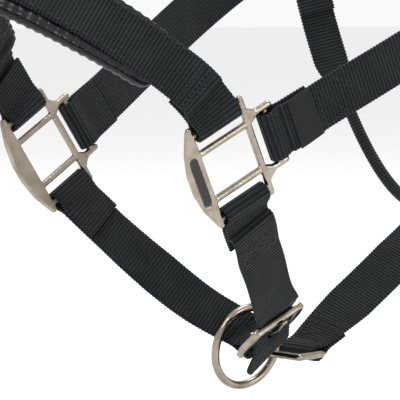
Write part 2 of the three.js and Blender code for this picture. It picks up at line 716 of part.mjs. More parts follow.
/** From the near square to where the billet meets the buckle. */
function chinBilletRoute() {
  const points = [...chinStart(1), vec(47, 40, -52),
    inFrame(chinBuckle, -9.66, BUCKLE_LENGTH + 20.92, -6.51)];
  points.push(inFrame(chinBuckle, 0, BUCKLE_LENGTH + CHIN_ENTRY, BILLET_UNDER));
  const curve = new THREE.CatmullRomCurve3(points, false, "centripetal");
  const x = squares[1].x;
  return new Route(curve, [x, x, chinBuckle.x, chinBuckle.x]);
}

function jawRoute() {
  const lower = jawBar;
  const direction = inPlane(34.4);
  const upper = THROAT_LOW;
  const curve = new THREE.CubicBezierCurve3(lower, lower.clone().addScaledVector(direction, 45),
    upper.clone().addScaledVector(inPlane(50), -30), upper);
  const twist = vec(0.85, 0.25, -0.4);
  const level = vec(1, 0, 0);
  return new Route(curve, [level, twist, twist, level].map((v) => v.clone().negate()));
}

function throatRoute() {
  const far = ringPoint(-1, THROAT_ANGLE);
  const near = ringPoint(1, THROAT_ANGLE);
  const nearStart = near.point.clone().addScaledVector(near.out, HOOK_LENGTH);
  const path = new THREE.CurvePath();
  const held = vec(WEBBING_WIDTH / 2 + 1, 0, 0);
  const lowFar = THROAT_LOW.clone().sub(held);
  const lowNear = THROAT_LOW.clone().add(held);
  const bend = vec(THROAT_BEND, 0, 0);
  path.add(new THREE.CubicBezierCurve3(far.point, far.point.clone().addScaledVector(far.out, 60),
    lowFar.clone().sub(bend), lowFar));
  path.add(new THREE.LineCurve3(lowFar, lowNear));
  path.add(new THREE.CubicBezierCurve3(lowNear, lowNear.clone().add(bend),
    nearStart.clone().addScaledVector(near.out, 45), nearStart));
  path.arcLengthDivisions = 400;
  const acrossFar = facing(far.outward, far.out);
  const acrossNear = facing(near.outward, near.out.clone().negate());
  const low = vec(0, 1, 0.1);
  return new Route(path, [acrossFar, acrossFar, low, low, acrossNear, acrossNear]);
}

function crownRoute() {
  const far = ringPoint(-1, CROWN_ANGLE);
  const near = ringPoint(1, CROWN_ANGLE);
  const path = new THREE.CurvePath();
  const flat = vec(POLL_FLAT, 0, 0);
  path.add(new THREE.CubicBezierCurve3(far.point, far.point.clone().addScaledVector(far.out, 95),
    POLL.clone().sub(flat), POLL));
  path.add(new THREE.CubicBezierCurve3(POLL, POLL.clone().add(flat),
    near.point.clone().addScaledVector(near.out, 95), near.point));
  path.arcLengthDivisions = 400;
  const atFar = facing(far.outward, far.out);
  const atNear = facing(near.outward, near.out.clone().negate());
  const atPoll = vec(0, 1, 0);
  const [partFar, partNear] = [atFar, atNear].map((v) => v.clone().lerp(atPoll, 0.6));
  return new Route(path, [atFar, partFar, atPoll, atPoll, partNear, atNear]);
}

// ---------------------------------------------------------------- finishes and group

const FINISH = {
  webbing: { color: 0x1b2023, roughness: 0.8, metalness: 0 },
  leather: { color: 0x121416, roughness: 0.45, metalness: 0 },
  foam: { color: 0x3a3d40, roughness: 0.95, metalness: 0 },
  nickel: { color: 0xb8b0a0, roughness: 0.25, metalness: 1 },
  label: { color: 0x0d0f11, roughness: 0.4, metalness: 0 },
};

const headcollar = new THREE.Group();

function add(name, geometry, finish) {
  const mesh = new THREE.Mesh(geometry, new THREE.MeshStandardMaterial(FINISH[finish]));
  mesh.name = name;
  headcollar.add(mesh);
}

const SIDE_NAMES = [["near", 1], ["far", -1]];

// noseband
const noseRoute = nosebandRoute();
add("noseband_webbing", webbing(strapStations(noseRoute, { start: BAR_FOLD, end: BAR_FOLD })),
  "webbing");
const nosePad = padPair(noseRoute, NOSE_PAD_START, noseRoute.length - NOSE_PAD_START, {
  width: NOSE_PAD_WIDTH, endWidth: NOSE_PAD_END_WIDTH, thickness: NOSE_PAD_THICKNESS,
});
add("noseband_pad_cover", nosePad.cover, "leather");
add("noseband_foam", nosePad.foam, "foam");

// cheek squares, cheek straps and upper rings
for (const [name, side] of SIDE_NAMES) {
  add(`cheek_square_${name}`, cheekSquare(side), "nickel");
  const strap = strapStations(cheekRoute(side), { start: BAR_FOLD, end: ringFold(WEBBING_WIDTH) });
  add(`cheek_strap_${name}`, webbing(strap), "webbing");
  add(`upper_ring_${name}`, wireRing(upperRings[side], UPPER_RING_RADIUS, UPPER_RING_WIRE), "nickel");
}

// label on the near cheek strap
const cheekNear = cheekRoute(1);
const labelHeight = DOUBLE + WEBBING_THICKNESS / 2 + GAP + LABEL_THICKNESS / 2;
const labelStations = [];
for (let i = 0; i <= 4; i += 1) {
  labelStations.push(cheekNear.lift(LABEL_START + (LABEL_LENGTH * i) / 4, labelHeight));
}
add("size_label", bandGeometry(labelStations,
  () => ({ width: WEBBING_WIDTH, thickness: LABEL_THICKNESS })), "label");

// chin strap, its billet and buckle
const chinRoute = chinStrapRoute();
const chinStrap = webbing(strapStations(chinRoute, {
  start: BAR_FOLD, end: { ...BAR_FOLD, sewn: 13 }, step: 5,
}));
add("chin_strap", cut(chinStrap, tongueSlot(chinBuckle)), "webbing");

const billetRoute = chinBilletRoute();
const billet = strapStations(billetRoute, { start: BAR_FOLD, stop: 6, step: 5 });
billet.push(...billetStations(chinBuckle, BUCKLE_LENGTH + CHIN_ENTRY));
for (const share of [0.3, 0.6, 1]) {
  const p = inFrame(chinBuckle, 0, -CHIN_TIP * share, BILLET_OVER + CHIN_TIP_LIFT * share ** 2);
  const b = chinBuckle.x.clone().applyAxisAngle(chinBuckle.y, radians(CHIN_TIP_TWIST) * share);
  billet.push({ p, b });
}
const billetTip = billet[billet.length - 1];
const billetBand = bandGeometry(billet, (station) => ({
  width: station === billetTip ? CHIN_TIP_WIDTH : WEBBING_WIDTH,
  thickness: WEBBING_THICKNESS,
}));
const pinch = pinchPoint();
const chinHole = punch(inFrame(chinBuckle, 0, pinch, billetHeight(pinch)), chinBuckle.z);
add("chin_billet", cut(billetBand, chinHole), "webbing");
add("chin_buckle_frame", buckleBody(chinBuckle), "nickel");
add("chin_buckle_tongue", buckleTongue(chinBuckle), "nickel");

// lead ring, threaded on the chin strap, and the jaw strap's loop linked through it
const ringRadius = LEAD_RING_INNER + LEAD_RING_WIRE / 2;
const doubled = DOUBLE + WEBBING_THICKNESS / 2; // half thickness of the strap's two layers
const hang = Math.sqrt((LEAD_RING_INNER - 2 * GAP) ** 2 - (WEBBING_WIDTH / 2) ** 2) - doubled;
const strapAtRing = chinRoute.at(chinRoute.length - LEAD_RING_BACK);
const ringCentre = strapAtRing.p.clone().addScaledVector(strapAtRing.n, hang);
const leadRingFrame = frame(ringCentre, vec(0, 1, 0), LEAD_RING_FACING.clone().cross(vec(0, 1, 0)));
add("lead_ring", wireRing(leadRingFrame, ringRadius, LEAD_RING_WIRE), "nickel");

const jawFrame = frame(jawBar, vec(1, 0, 0), vec(0, -1, -0.04));
const loopX = SLOT_HALF + JAW_LOOP_WIRE / 2;
const loopY = JAW_LOOP_DEPTH + JAW_LOOP_WIRE;
const loopCorners = [[-loopX, 0], [loopX, 0], [loopX, loopY], [-loopX, loopY]];
const loopBars = loopCorners.map((corner, i) => bar(corner, loopCorners[(i + 1) % 4], JAW_LOOP_WIRE));
add("jaw_loop", join(...loopBars).applyMatrix4(frameMatrix(jawFrame)), "nickel");

// jaw strap, folded round its loop and round the rolled throat lash
const jaw = strapStations(jawRoute(), {
  start: { reach: JAW_LOOP_WIRE / 2, sewn: 20 },
  end: { reach: THROAT_ROLL / 2 + GAP, sewn: 22, slack: 0.3 },
});
add("jaw_strap", webbing(jaw), "webbing");

// throat lash: flat at both ends, rolled between them
const throat = throatRoute();
const rolled = (distance) => {
  const fromEnd = Math.min(distance, throat.length - distance);
  return THREE.MathUtils.smoothstep(fromEnd, THROAT_FLAT, THROAT_FLAT + THROAT_TAPER);
};
const throatStations = strapStations(throat, {
  start: ringFold(THROAT_WIDTH, 20),
  end: { ...BAR_FOLD, sewn: 20 },
  height: (distance) => DOUBLE * (1 - rolled(distance)),
});
add("throat_lash", bandGeometry(throatStations, ({ distance }) => ({
  width: THREE.MathUtils.lerp(THROAT_WIDTH, THROAT_ROLL, rolled(distance)),
  thickness: THREE.MathUtils.lerp(WEBBING_THICKNESS, THROAT_ROLL, rolled(distance)),
  rolled: rolled(distance),
}), [3, 1]), "webbing");

// snap that joins the throat lash to the near upper ring
const snapAt = ringPoint(1, THROAT_ANGLE);
const snapFrame = frame(snapAt.point, snapAt.outward, snapAt.out);
const inSnap = (geometry) => geometry.applyMatrix4(frameMatrix(snapFrame));
add("snap_hook", inSnap(snapHook()), "nickel");
add("snap_gate", inSnap(snapGate()), "nickel");
add("snap_gate_pin", inSnap(snapPin()), "nickel");
add("snap_swivel_eye", inSnap(snapEye()), "nickel");

// crown: far fold, over the poll, down to the buckle on the near side
const crown = crownRoute();
const heelAt = crown.length - CHAPE_LENGTH;
const heelPoint = crown.at(heelAt);
const frontPoint = crown.at(heelAt - BUCKLE_LENGTH);
const crownBuckle = frame(heelPoint.p, heelPoint.b, frontPoint.p.clone().sub(heelPoint.p));
const nearTop = ringPoint(1, CROWN_ANGLE);
const chapeCurve = new THREE.LineCurve3(nearTop.point, heelPoint.p);
const chapeAcross = facing(nearTop.outward, heelPoint.p.clone().sub(nearTop.point));
const chapeRoute = new Route(chapeCurve, [chapeAcross, crownBuckle.x.clone().negate()]);
const chapeSewn = CHAPE_LENGTH / 2 - 0.5;
const chape = webbing(strapStations(chapeRoute, {
  start: ringFold(WEBBING_WIDTH, chapeSewn), end: { ...BAR_FOLD, sewn: chapeSewn - 0.5 },
}));
add("crown_chape", cut(chape, tongueSlot(crownBuckle)), "webbing");
add("crown_buckle_frame", buckleBody(crownBuckle), "nickel");
add("crown_buckle_tongue", buckleTongue(crownBuckle), "nickel");

const restHeight = DOUBLE + WEBBING_THICKNESS + GAP; // billet lying on the chape
const crownStations = strapStations(crown, {
  start: ringFold(WEBBING_WIDTH), stop: CHAPE_LENGTH + BUCKLE_LENGTH + 26,
});
crownStations.push(...billetStations(crownBuckle, BUCKLE_LENGTH + 14));
for (let beyond = 5; beyond <= CROWN_TIP; beyond += (CROWN_TIP - 5) / 6) {
  const drop = THREE.MathUtils.smoothstep(beyond, 0, 14);
  const height = THREE.MathUtils.lerp(BILLET_OVER, restHeight, drop);
  const station = chapeRoute.lift(CHAPE_LENGTH - beyond, height);
  station.b.negate();
  crownStations.push(station);
}
const crownHoles = [];
for (const i of [-1, 0, 1, 2, 3]) {
  const y = pinch + HOLE_PITCH * i;
  const inBuckle = y > 0 && y < BUCKLE_LENGTH + 14;
  const place = inBuckle ? inFrame(crownBuckle, 0, y, billetHeight(y)) : crown.at(heelAt - y).p;
  crownHoles.push(punch(place, inBuckle ? crownBuckle.z : crown.at(heelAt - y).n));
}
add("crown_strap", cut(webbing(crownStations), ...crownHoles), "webbing");

const keeperPlace = chapeRoute.at(CHAPE_LENGTH - KEEPER_BACK);
const keeperFrame = frame(keeperPlace.p, keeperPlace.b, keeperPlace.t.clone().negate());
add("crown_keeper", keeperLoop(keeperFrame, KEEPER_LENGTH, -DOUBLE - 1.5,
  restHeight + WEBBING_THICKNESS / 2 + 0.5), "webbing");

const crownPad = padPair(crown, (crown.length - CROWN_PAD_LENGTH) / 2,
  (crown.length + CROWN_PAD_LENGTH) / 2, {
    width: CROWN_PAD_WIDTH, endWidth: NOSE_PAD_END_WIDTH, thickness: CROWN_PAD_THICKNESS,
  });
add("crown_pad_cover", crownPad.cover, "leather");
add("crown_foam", crownPad.foam, "foam");

// the underside of the crown pad at the poll is the origin
const seat = POLL.clone();
seat.z += DOUBLE - WEBBING_THICKNESS / 2 - PAD_GAP - CROWN_PAD_THICKNESS;
headcollar.position.copy(seat).negate();
headcollar.updateMatrixWorld(true);

export default headcollar;
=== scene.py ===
"""Looks of a padded headcollar: ribbed webbing, padded leather noseband and nickel fittings.

Shapes are worked out in millimetres in a working frame whose origin lies midway between the two
cheek squares (+Z up, nose towards -Y, near side +X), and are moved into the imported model's frame,
in metres, when each mesh is made.
"""
import math

import bmesh
import bpy
import numpy as np
from mathutils import Matrix, Vector


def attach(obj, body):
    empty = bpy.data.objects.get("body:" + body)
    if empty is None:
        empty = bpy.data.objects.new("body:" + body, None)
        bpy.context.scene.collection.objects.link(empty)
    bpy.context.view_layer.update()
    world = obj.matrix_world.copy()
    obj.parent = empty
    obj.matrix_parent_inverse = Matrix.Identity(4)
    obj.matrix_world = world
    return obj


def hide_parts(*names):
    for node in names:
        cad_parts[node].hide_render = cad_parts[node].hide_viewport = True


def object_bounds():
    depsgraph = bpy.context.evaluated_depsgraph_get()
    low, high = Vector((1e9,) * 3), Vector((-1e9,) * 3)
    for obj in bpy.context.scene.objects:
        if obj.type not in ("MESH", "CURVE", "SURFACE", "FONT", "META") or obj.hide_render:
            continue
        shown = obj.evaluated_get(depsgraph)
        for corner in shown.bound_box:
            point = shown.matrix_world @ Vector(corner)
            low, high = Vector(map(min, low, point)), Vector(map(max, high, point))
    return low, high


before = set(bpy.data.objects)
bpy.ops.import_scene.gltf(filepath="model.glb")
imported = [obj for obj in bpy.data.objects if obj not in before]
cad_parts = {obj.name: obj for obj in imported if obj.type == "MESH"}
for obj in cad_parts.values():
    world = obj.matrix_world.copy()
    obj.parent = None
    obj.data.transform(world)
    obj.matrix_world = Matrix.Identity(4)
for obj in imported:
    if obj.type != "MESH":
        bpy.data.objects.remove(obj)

cad_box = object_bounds()

# ---------------------------------------------------------------- sizes

MM = 0.001
SEAT = np.array([0, 279, 253.7])  # the model's origin in the working frame

WIDTH = 25.0  # of the webbing
THICK = 2.0
LAYER = 1.15  # each of two layers' distance from the middle
RIB = 1.8  # pitch of the ribs across the webbing
RIB_DEPTH = 0.22
STEP = 0.45  # spacing of the sections along the webbing
YARN = 0.95  # pitch of the yarns along a rib
THREAD = 0.32  # radius of the sewing thread
STITCH = 3.4  # pitch of the stitches
DARN_STITCH = 2.6
PAD_STITCH, PAD_STITCH_EDGE = 4.6, 10.8  # pitch, and distance from the webbing's middle
CHORD = 0.6  # half the length over which a line's direction is taken
TIP_NARROWING, TIP_ROUNDNESS = 0.62, 2.4

CAST_BAR = 3.6
BAR_REACH = 2.15
FOLD_CLEAR = 0.35
FOLD_CLOSE = 9  # length over which a fold's two layers come together
ROLL_EASE = 24  # length over which a strap eases down behind a rolled edge
HEAD_SLOPE, SQUARE_TOE, SQUARE_LEAN = 28.7, 10.4, 12.9
SQUARE_CENTRE = (70, 0, 0)
SQUARE_BAR = 22.5  # from a square's centre to its strap bars, up and down
SQUARE_BACK_BAR = 25.25  # and backwards

OVAL_X, OVAL_HALF, OVAL_REACH = -18.3, 2.7, 13.2  # sunk oval in a square's crescent
OVAL_FLOOR = 0.9

NOSE_BRIDGE = (0, -99, 91)
NOSE_RISE, NOSE_FLAT = 32, 30
NOSE_PAD = {"start": 36, "width": 37, "end_width": 28, "thick": 8.5}

RING_CENTRE = (90, 186, 111)
RING_RADIUS, RING_WIRE = 24.0, 4.4
CROWN_ANGLE, THROAT_ANGLE, CHEEK_ANGLE = 57, -76, 211  # where each strap holds an upper ring
CHEEK_LEAVE, CHEEK_ARRIVE = 45, 55  # reach of a cheek strap's straight ends
CHIN_LEAN = 25  # the chin straps' slope inwards from the squares
JAW_LEAVE, JAW_ARRIVE = (34.4, 45), (50, 30)  # slope and reach of the jaw strap's ends
CROWN_RISE = 95  # reach of the crown's straight ends
LABEL_START, LABEL_LENGTH = 10, 15

POLL = (0, 279, 262)
POLL_FLAT = 60
CROWN_PAD = {"length": 156, "width": 38, "end_width": 28, "thick": 8}
CHAPE = 52  # upper ring to the crown buckle's heel bar
KEEPER_WIDTH, KEEPER_THICK = 9, 1.5
BUCKLE = 22  # heel bar to front bar
CROWN_TIP, CHIN_TIP = 40, 16
CHIN_ENTRY = 5  # the chin billet reaches its buckle this far before the front bar
HOLE = 7.6
HOLE_PITCH = 18
TONGUE_SLOT = (6.4, 15, 14)  # the block cut from a fold: across, along and through the strap
PINCH = 10.62  # from a heel bar to the hole its tongue goes through

CHIN_HEEL = (2, 79, -94)
JAW_BAR = (-3, 110, -102.5)
JAW_WIRE = 1.9
THROAT_LOW = (0, 203, -33)
THROAT_WIDTH, THROAT_ROLL = 20, 6.4
THROAT_FLAT, THROAT_TAPER = 46, 26
HOOK_LENGTH = 34

# ---------------------------------------------------------------- vectors and lines


def vec(*values):
    return np.array(values, float)


def unit(v):
    return np.asarray(v, float) / np.linalg.norm(v, axis=-1, keepdims=True)


def mirror(v):
    return np.asarray(v, float) * (-1, 1, 1)


def on_side(v, side):
    return vec(*v) if side > 0 else mirror(v)


def in_plane(degrees):
    """Direction in the head's upright middle plane, at an angle above the horizontal."""
    a = math.radians(degrees)
    return vec(0, math.cos(a), math.sin(a))


def turn(v, axis, degrees):
    """Vector turned about an axis by the right-hand rule."""
    a = math.radians(degrees)
    axis = unit(axis)
    spun = v * math.cos(a) + np.cross(axis, v) * math.sin(a)
    return spun + axis * np.dot(axis, v) * (1 - math.cos(a))


def smoothstep(x, low, high):
    t = np.clip((np.asarray(x, float) - low) / (high - low), 0, 1)
    return t * t * (3 - 2 * t)


class Frame:
    """Right-handed frame from an origin, an x direction and a rough y direction."""

    def __init__(self, origin, x, y):
        self.o = vec(*origin)
        self.x = unit(x)
        self.z = unit(np.cross(self.x, y))
        self.y = np.cross(self.z, self.x)

    def at(self, x, y, z):
        return self.o + self.x * x + self.y * y + self.z * z


def bezier(*corners, count=160):
    """Points of a cubic curve between its first and last corners."""
    t = np.linspace(0, 1, count)[:, None]
    p = [vec(*c) for c in corners]
    return (p[0] * (1 - t) ** 3 + 3 * p[1] * t * (1 - t) ** 2
            + 3 * p[2] * t ** 2 * (1 - t) + p[3] * t ** 3)


def through(points, count=40):
    """Smooth line through points (a centripetal Catmull-Rom spline)."""
    p = [vec(*q) for q in points]
    p = [2 * p[0] - p[1], *p, 2 * p[-1] - p[-2]]
    t = np.linspace(0, 1, count, endpoint=False)[:, None]
    line = []
    for a, b, c, d in zip(p, p[1:], p[2:], p[3:]):
        ab, bc, cd = (np.linalg.norm(v) ** 0.5 for v in (b - a, c - b, d - c))
        leave = ((b - a) / ab - (c - a) / (ab + bc) + (c - b) / bc) * bc
        arrive = ((c - b) / bc - (d - b) / (bc + cd) + (d - c) / cd) * bc
        line.append((2 * t ** 3 - 3 * t ** 2 + 1) * b + (t ** 3 - 2 * t ** 2 + t) * leave
                    + (3 * t ** 2 - 2 * t ** 3) * c + (t ** 3 - t ** 2) * arrive)
    return np.concatenate([*line, [p[-2]]])


class Route:
    """A line with a width direction along it, measured in millimetres from its start."""

    def __init__(self, points, across):
        kept = np.concatenate([[True], np.linalg.norm(np.diff(points, axis=0), axis=1) > 1e-6])
        self.points = points[kept]
        steps = np.linalg.norm(np.diff(self.points, axis=0), axis=1)
        self.marks = np.concatenate([[0], np.cumsum(steps)])
        self.length = self.marks[-1]
        self.across = np.array([unit(v) for v in across])

    def place(self, distance):
        return np.stack([np.interp(distance, self.marks, self.points[:, k]) for k in range(3)], -1)

    def lift(self, distance, height):
        """Points at distances along the line and heights above it, with the width directions."""
        distance = np.asarray(distance, float)
        inside = np.clip(distance, 0, self.length)
        t = unit(self.place(np.minimum(inside + CHORD, self.length))
                 - self.place(np.maximum(inside - CHORD, 0)))
        p = self.place(inside) + t * (distance - inside)[:, None]
        span = inside / self.length * (len(self.across) - 1)
        i = np.minimum(span.astype(int), len(self.across) - 2)
        part = (span - i)[:, None]
        b = self.across[i] * (1 - part) + self.across[i + 1] * part
        b = unit(b - t * np.sum(b * t, 1, keepdims=True))
        return p + np.cross(t, b) * np.asarray(height, float)[:, None], b


# ---------------------------------------------------------------- bands: straps as laid

class Band:
    """Closely spaced sections of a strap: middle p, width direction b, outward direction n."""

    def __init__(self, p, b, distance, top):
        self.p = p
        t = unit(np.gradient(p, axis=0))
        self.b = unit(b - t * np.sum(b * t, 1, keepdims=True))
        self.n = np.cross(t, self.b)
        self.distance = distance
        self.top = top
        steps = np.linalg.norm(np.diff(p, axis=0), axis=1)
        self.along = np.concatenate([[0], np.cumsum(steps)])

    def outside(self, distance, x, rise=THICK / 2):
        """A point and its outward direction on the outer face of the outer layer."""
        outer = np.flatnonzero(self.top)
        i = outer[np.argmin(np.abs(self.distance[outer] - distance))]
        return self.p[i] + self.b[i] * x + self.n[i] * rise, self.n[i]


def fold(reach, sewn, slack=0.0, roll_at=None, roll=0.0):
    """Side profile of a fold round a bar, as in the solids: sewn end, bend, outer layer.

    roll_at is where the outer layer steps up in a rolled edge, of radius roll, and eases back.
    """
    radius = reach + FOLD_CLEAR + THICK / 2
    close = slack + FOLD_CLOSE
    near = np.linspace(close, 0, 12)
    height = LAYER + (radius - LAYER) * smoothstep(close - near, 0, close - slack)
    layer = [(sewn, LAYER), *zip(near, height)]
    bend = [(-slack - radius * math.sin(a), -radius * math.cos(a))
            for a in np.linspace(0, math.pi, 21)]
    outer = layer[::-1]
    if roll_at is not None:
        outer = [(d, h) for d, h in outer if d < roll_at + roll]
        outer += [(roll_at + roll * (1 - math.sin(a)), LAYER + roll * (1 - math.cos(a)))
                  for a in np.linspace(0, math.pi, 15)]
        outer += [(roll_at + roll + d, LAYER + 2 * roll * (1 - smoothstep(d, 2, ROLL_EASE)))
                  for d in np.linspace(1, ROLL_EASE, 12)]
    return [*((d, -h) for d, h in layer), *bend, *outer]


def lay(route, start=None, end=None, stop=0, height=None):
    """Places along a strap as (point, width direction, distance, is outer layer)."""
    profile = fold(**start) if start else [(0, LAYER)]
    last = route.length - (end["sewn"] if end else stop)
    between = np.linspace(profile[-1][0], last, max(3, int(last / 3)))[1:-1]
    profile += [(d, height(d) if height else LAYER) for d in between]
    tail = fold(**end)[::-1] if end else [(stop, LAYER)]
    profile += [(route.length - d, h) for d, h in tail]
    flat = np.array(profile)
    run = np.concatenate([[0], np.cumsum(np.linalg.norm(np.diff(flat, axis=0), axis=1))])
    fine = np.linspace(0, run[-1], int(run[-1] / STEP))
    d = np.interp(fine, run, flat[:, 0])
    h = np.interp(fine, run, flat[:, 1])
    p, b = route.lift(d, h)
    return p, b, d, h > -0.01


def chain(p, b, distance, top, more):
    """Adds further (point, width direction, distance) places to a laid strap."""
    q = np.array([m[0] for m in more])
    ends = np.vstack([p[-1:], q])
    run = np.concatenate([[0], np.cumsum(np.linalg.norm(np.diff(ends, axis=0), axis=1))])
    fine = np.linspace(0, run[-1], int(run[-1] / STEP))[1:]
    widths = np.vstack([b[-1:], [m[1] for m in more]])
    marks = np.array([distance[-1], *(m[2] for m in more)])

    def between(values):
        return np.stack([np.interp(fine, run, values[:, k]) for k in range(3)], -1)
    p = np.vstack([p, between(ends)])
    b = np.vstack([b, between(widths)])
    distance = np.concatenate([distance, np.interp(fine, run, marks)])
    return p, b, distance, np.concatenate([top, np.ones(len(fine), bool)])


def relax(p, reach=2.4):
    """Rounds a line's corners by averaging each point with those within a short reach."""
    half = int(reach / STEP / 2)
    weights = np.hanning(2 * half + 3)[1:-1]
    weights /= weights.sum()
    padded = np.concatenate([[2 * p[0] - q for q in p[half:0:-1]], p,
                             [2 * p[-1] - q for q in p[-2:-half - 2:-1]]])
    return np.stack([np.convolve(padded[:, k], weights, "valid") for k in range(3)], -1)


def band_of(p, b, distance, top):
    return Band(relax(p), b, distance, top)


# ---------------------------------------------------------------- meshes

def shown(name, mesh, finish, body="headcollar", replaces=()):
    """Links a mesh as a piece of the object that rides on a body."""
    mesh.materials.append(finish)
    piece = bpy.data.objects.new(name, mesh)
    bpy.context.scene.collection.objects.link(piece)
    mesh.shade_smooth()
    if replaces:
        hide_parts(*replaces)
    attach(piece, body)
    return piece


def mesh_of(name, bm):
    mesh = bpy.data.meshes.new(name)
    bm.to_mesh(mesh)
    bm.free()
    return mesh


def row_place(point):
    """A working-frame point as a vector in the model's frame."""
    return Vector((point - SEAT) * MM)


def flat_strip(width, thick, rows, cells=10, edge=0.55):
    """A strip as cut: x across, y from 0 to rows, z up, with its long edges rounded."""
    bm = bmesh.new()
    bmesh.ops.create_grid(bm, x_segments=cells, y_segments=rows, size=0.5)
    bmesh.ops.scale(bm, vec=(width, rows, 1), verts=bm.verts)
    bmesh.ops.translate(bm, vec=(0, rows / 2, -thick / 2), verts=bm.verts)
    raised = bmesh.ops.extrude_face_region(bm, geom=bm.faces[:])
    lifted = [v for v in raised["geom"] if isinstance(v, bmesh.types.BMVert)]
    bmesh.ops.translate(bm, vec=(0, 0, thick), verts=lifted)
    bmesh.ops.recalc_face_normals(bm, faces=bm.faces)
    rim = [e for e in bm.edges
           if all(abs(v.co.x) > width / 2 - 0.01 for v in e.verts)
           and abs(e.verts[0].co.z - e.verts[1].co.z) < 0.01
           and abs(e.verts[0].co.y - e.verts[1].co.y) > 0.5]
    bmesh.ops.bevel(bm, geom=rim, offset=edge, segments=3, profile=0.5, affect="EDGES",
                    material=-1)
    return bm


def bent(name, bm, band, shape):
    """Mesh of a flat strip bent along a band; shape(x, row, z) gives places in the sections."""
    mesh = mesh_of(name, bm)
    flat = np.empty(3 * len(mesh.vertices))
    mesh.vertices.foreach_get("co", flat)
    x, y, z = flat.reshape(-1, 3).T
    row = np.clip(np.rint(y), 0, len(band.p) - 1).astype(int)
    x, z = shape(x, row, z)
    place = band.p[row] + band.b[row] * x[:, None] + band.n[row] * z[:, None]
    mesh.vertices.foreach_set("co", ((place - SEAT) * MM).ravel())
    mesh.flip_normals()  # across, along and outward make a left-handed set in a band
    corners = np.empty(len(mesh.loops), int)
    mesh.loops.foreach_get("vertex_index", corners)
    weave = mesh.uv_layers.new(name="weave")
    weave.data.foreach_set("uv", np.stack([x, band.along[row]], 1)[corners].ravel())
    mesh.update()
    return mesh


def ribs(along):
    """1 on a rib of the webbing and 0 in the groove between two."""
    return 0.5 + 0.5 * np.cos(2 * math.pi * along / RIB)


def webbing(name, band, node, width=WIDTH, point_from=None):
    """A strap of ribbed webbing; point_from is the length at which its end starts to narrow."""
    rib = ribs(band.along)
    narrow = np.ones(len(band.along))
    if point_from is not None:
        left = np.clip((band.along - point_from) / (band.along[-1] - point_from), 0, 1)
        narrow = np.sqrt(1 - TIP_NARROWING * left ** TIP_ROUNDNESS)

    def shape(x, row, z):
        groove = 1 - rib[row]
        return (x * narrow[row] * (1 - 0.5 * groove / width),
                z * (1 - 2 * RIB_DEPTH * groove / THICK))
    strip = flat_strip(width, THICK, len(band.p) - 1)
    return shown(name, bent(name, strip, band, shape), WEBBING, replaces=(node,))


def cut(piece, cutter):
    """Takes a cutter's shape, a bmesh, out of a piece."""
    tool = bpy.data.objects.new("cutter", mesh_of("cutter", cutter))
    bpy.context.scene.collection.objects.link(tool)
    opening = piece.modifiers.new("opening", "BOOLEAN")
    opening.object = tool
    opening.solver = "EXACT"
    baked(piece)
    bpy.data.objects.remove(tool)


def punched(piece, places):
    """Cuts a round hole through a strap at each (point, direction)."""
    for point, direction in places:
        punch = bmesh.new()
        aim = Vector(direction).to_track_quat("Z", "Y").to_matrix().to_4x4()
        aim.translation = row_place(point)
        bmesh.ops.create_cone(punch, cap_ends=True, segments=32, radius1=HOLE / 2 * MM,
                              radius2=HOLE / 2 * MM, depth=8 * MM, matrix=aim)
        cut(piece, punch)


def tongue_slot(piece, buckle):
    """Opens a slot in a fold for the buckle's tongue."""
    block = bmesh.new()
    bmesh.ops.create_cube(block, size=MM)
    bmesh.ops.scale(block, vec=TONGUE_SLOT, verts=block.verts)
    turned = Matrix([buckle.x, buckle.y, buckle.z]).transposed().to_4x4()
    turned.translation = row_place(buckle.o)
    bmesh.ops.transform(block, matrix=turned, verts=block.verts)
    cut(piece, block)


def baked(piece):
    """Puts the result of a piece's modifiers into its mesh."""
    graph = bpy.context.evaluated_depsgraph_get()
    graph.update()
    mesh = bpy.data.meshes.new_from_object(piece.evaluated_get(graph), depsgraph=graph)
    piece.modifiers.clear()
    piece.data = mesh
    mesh.shade_smooth()


def cast(name, node, body="headcollar", grain=0.42, smooth=5):
    """A metal piece: the solid's own shape with its edges melted round, as polishing leaves it."""
    bm = bmesh.new()
    bm.from_mesh(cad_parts[node].data)
    bmesh.ops.remove_doubles(bm, verts=bm.verts, dist=0.001 * MM)
    piece = shown(name, mesh_of(name, bm), NICKEL, body, (node,))
    melt = piece.modifiers.new("melt", "REMESH")
    melt.mode = "VOXEL"
    melt.voxel_size = grain * MM
    soften = piece.modifiers.new("soften", "SMOOTH")
    soften.factor = 0.6
    soften.iterations = smooth
    baked(piece)
    return piece


def solid_frame(node):
    """Middle, normal and radius of a flat ring-shaped solid."""
    co = np.array([v.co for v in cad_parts[node].data.vertices])
    low, high = co.min(0), co.max(0)
    middle = (low + high) / 2
    axes = np.linalg.svd(co - co.mean(0), full_matrices=False)[2]
    normal = axes[2]
    flat = (co - middle) - np.outer((co - middle) @ normal, normal)
    reach = np.linalg.norm(flat, axis=1)
    return middle, normal, (reach.max() + reach.min()) / 2, (reach.max() - reach.min()) / 2


def ring(name, node, body="headcollar"):
    """A ring of bent and welded wire: a round section spun about the ring's middle."""
    middle, normal, radius, wire = solid_frame(node)
    bm = bmesh.new()
    bmesh.ops.create_circle(bm, segments=28, radius=wire)
    bmesh.ops.rotate(bm, matrix=Matrix.Rotation(math.pi / 2, 3, "X"), verts=bm.verts)
    bmesh.ops.translate(bm, vec=(radius, 0, 0), verts=bm.verts)
    bmesh.ops.spin(bm, geom=bm.edges[:] + bm.verts[:], axis=(0, 0, 1), angle=2 * math.pi,
                   steps=144, use_merge=True)
    bmesh.ops.remove_doubles(bm, verts=bm.verts, dist=0.001 * MM)
    bmesh.ops.recalc_face_normals(bm, faces=bm.faces)
    aim = Vector(normal).to_track_quat("Z", "Y").to_matrix().to_4x4()
    aim.translation = Vector(middle)
    bmesh.ops.transform(bm, matrix=aim, verts=bm.verts)
    return shown(name, mesh_of(name, bm), NICKEL, body, (node,))


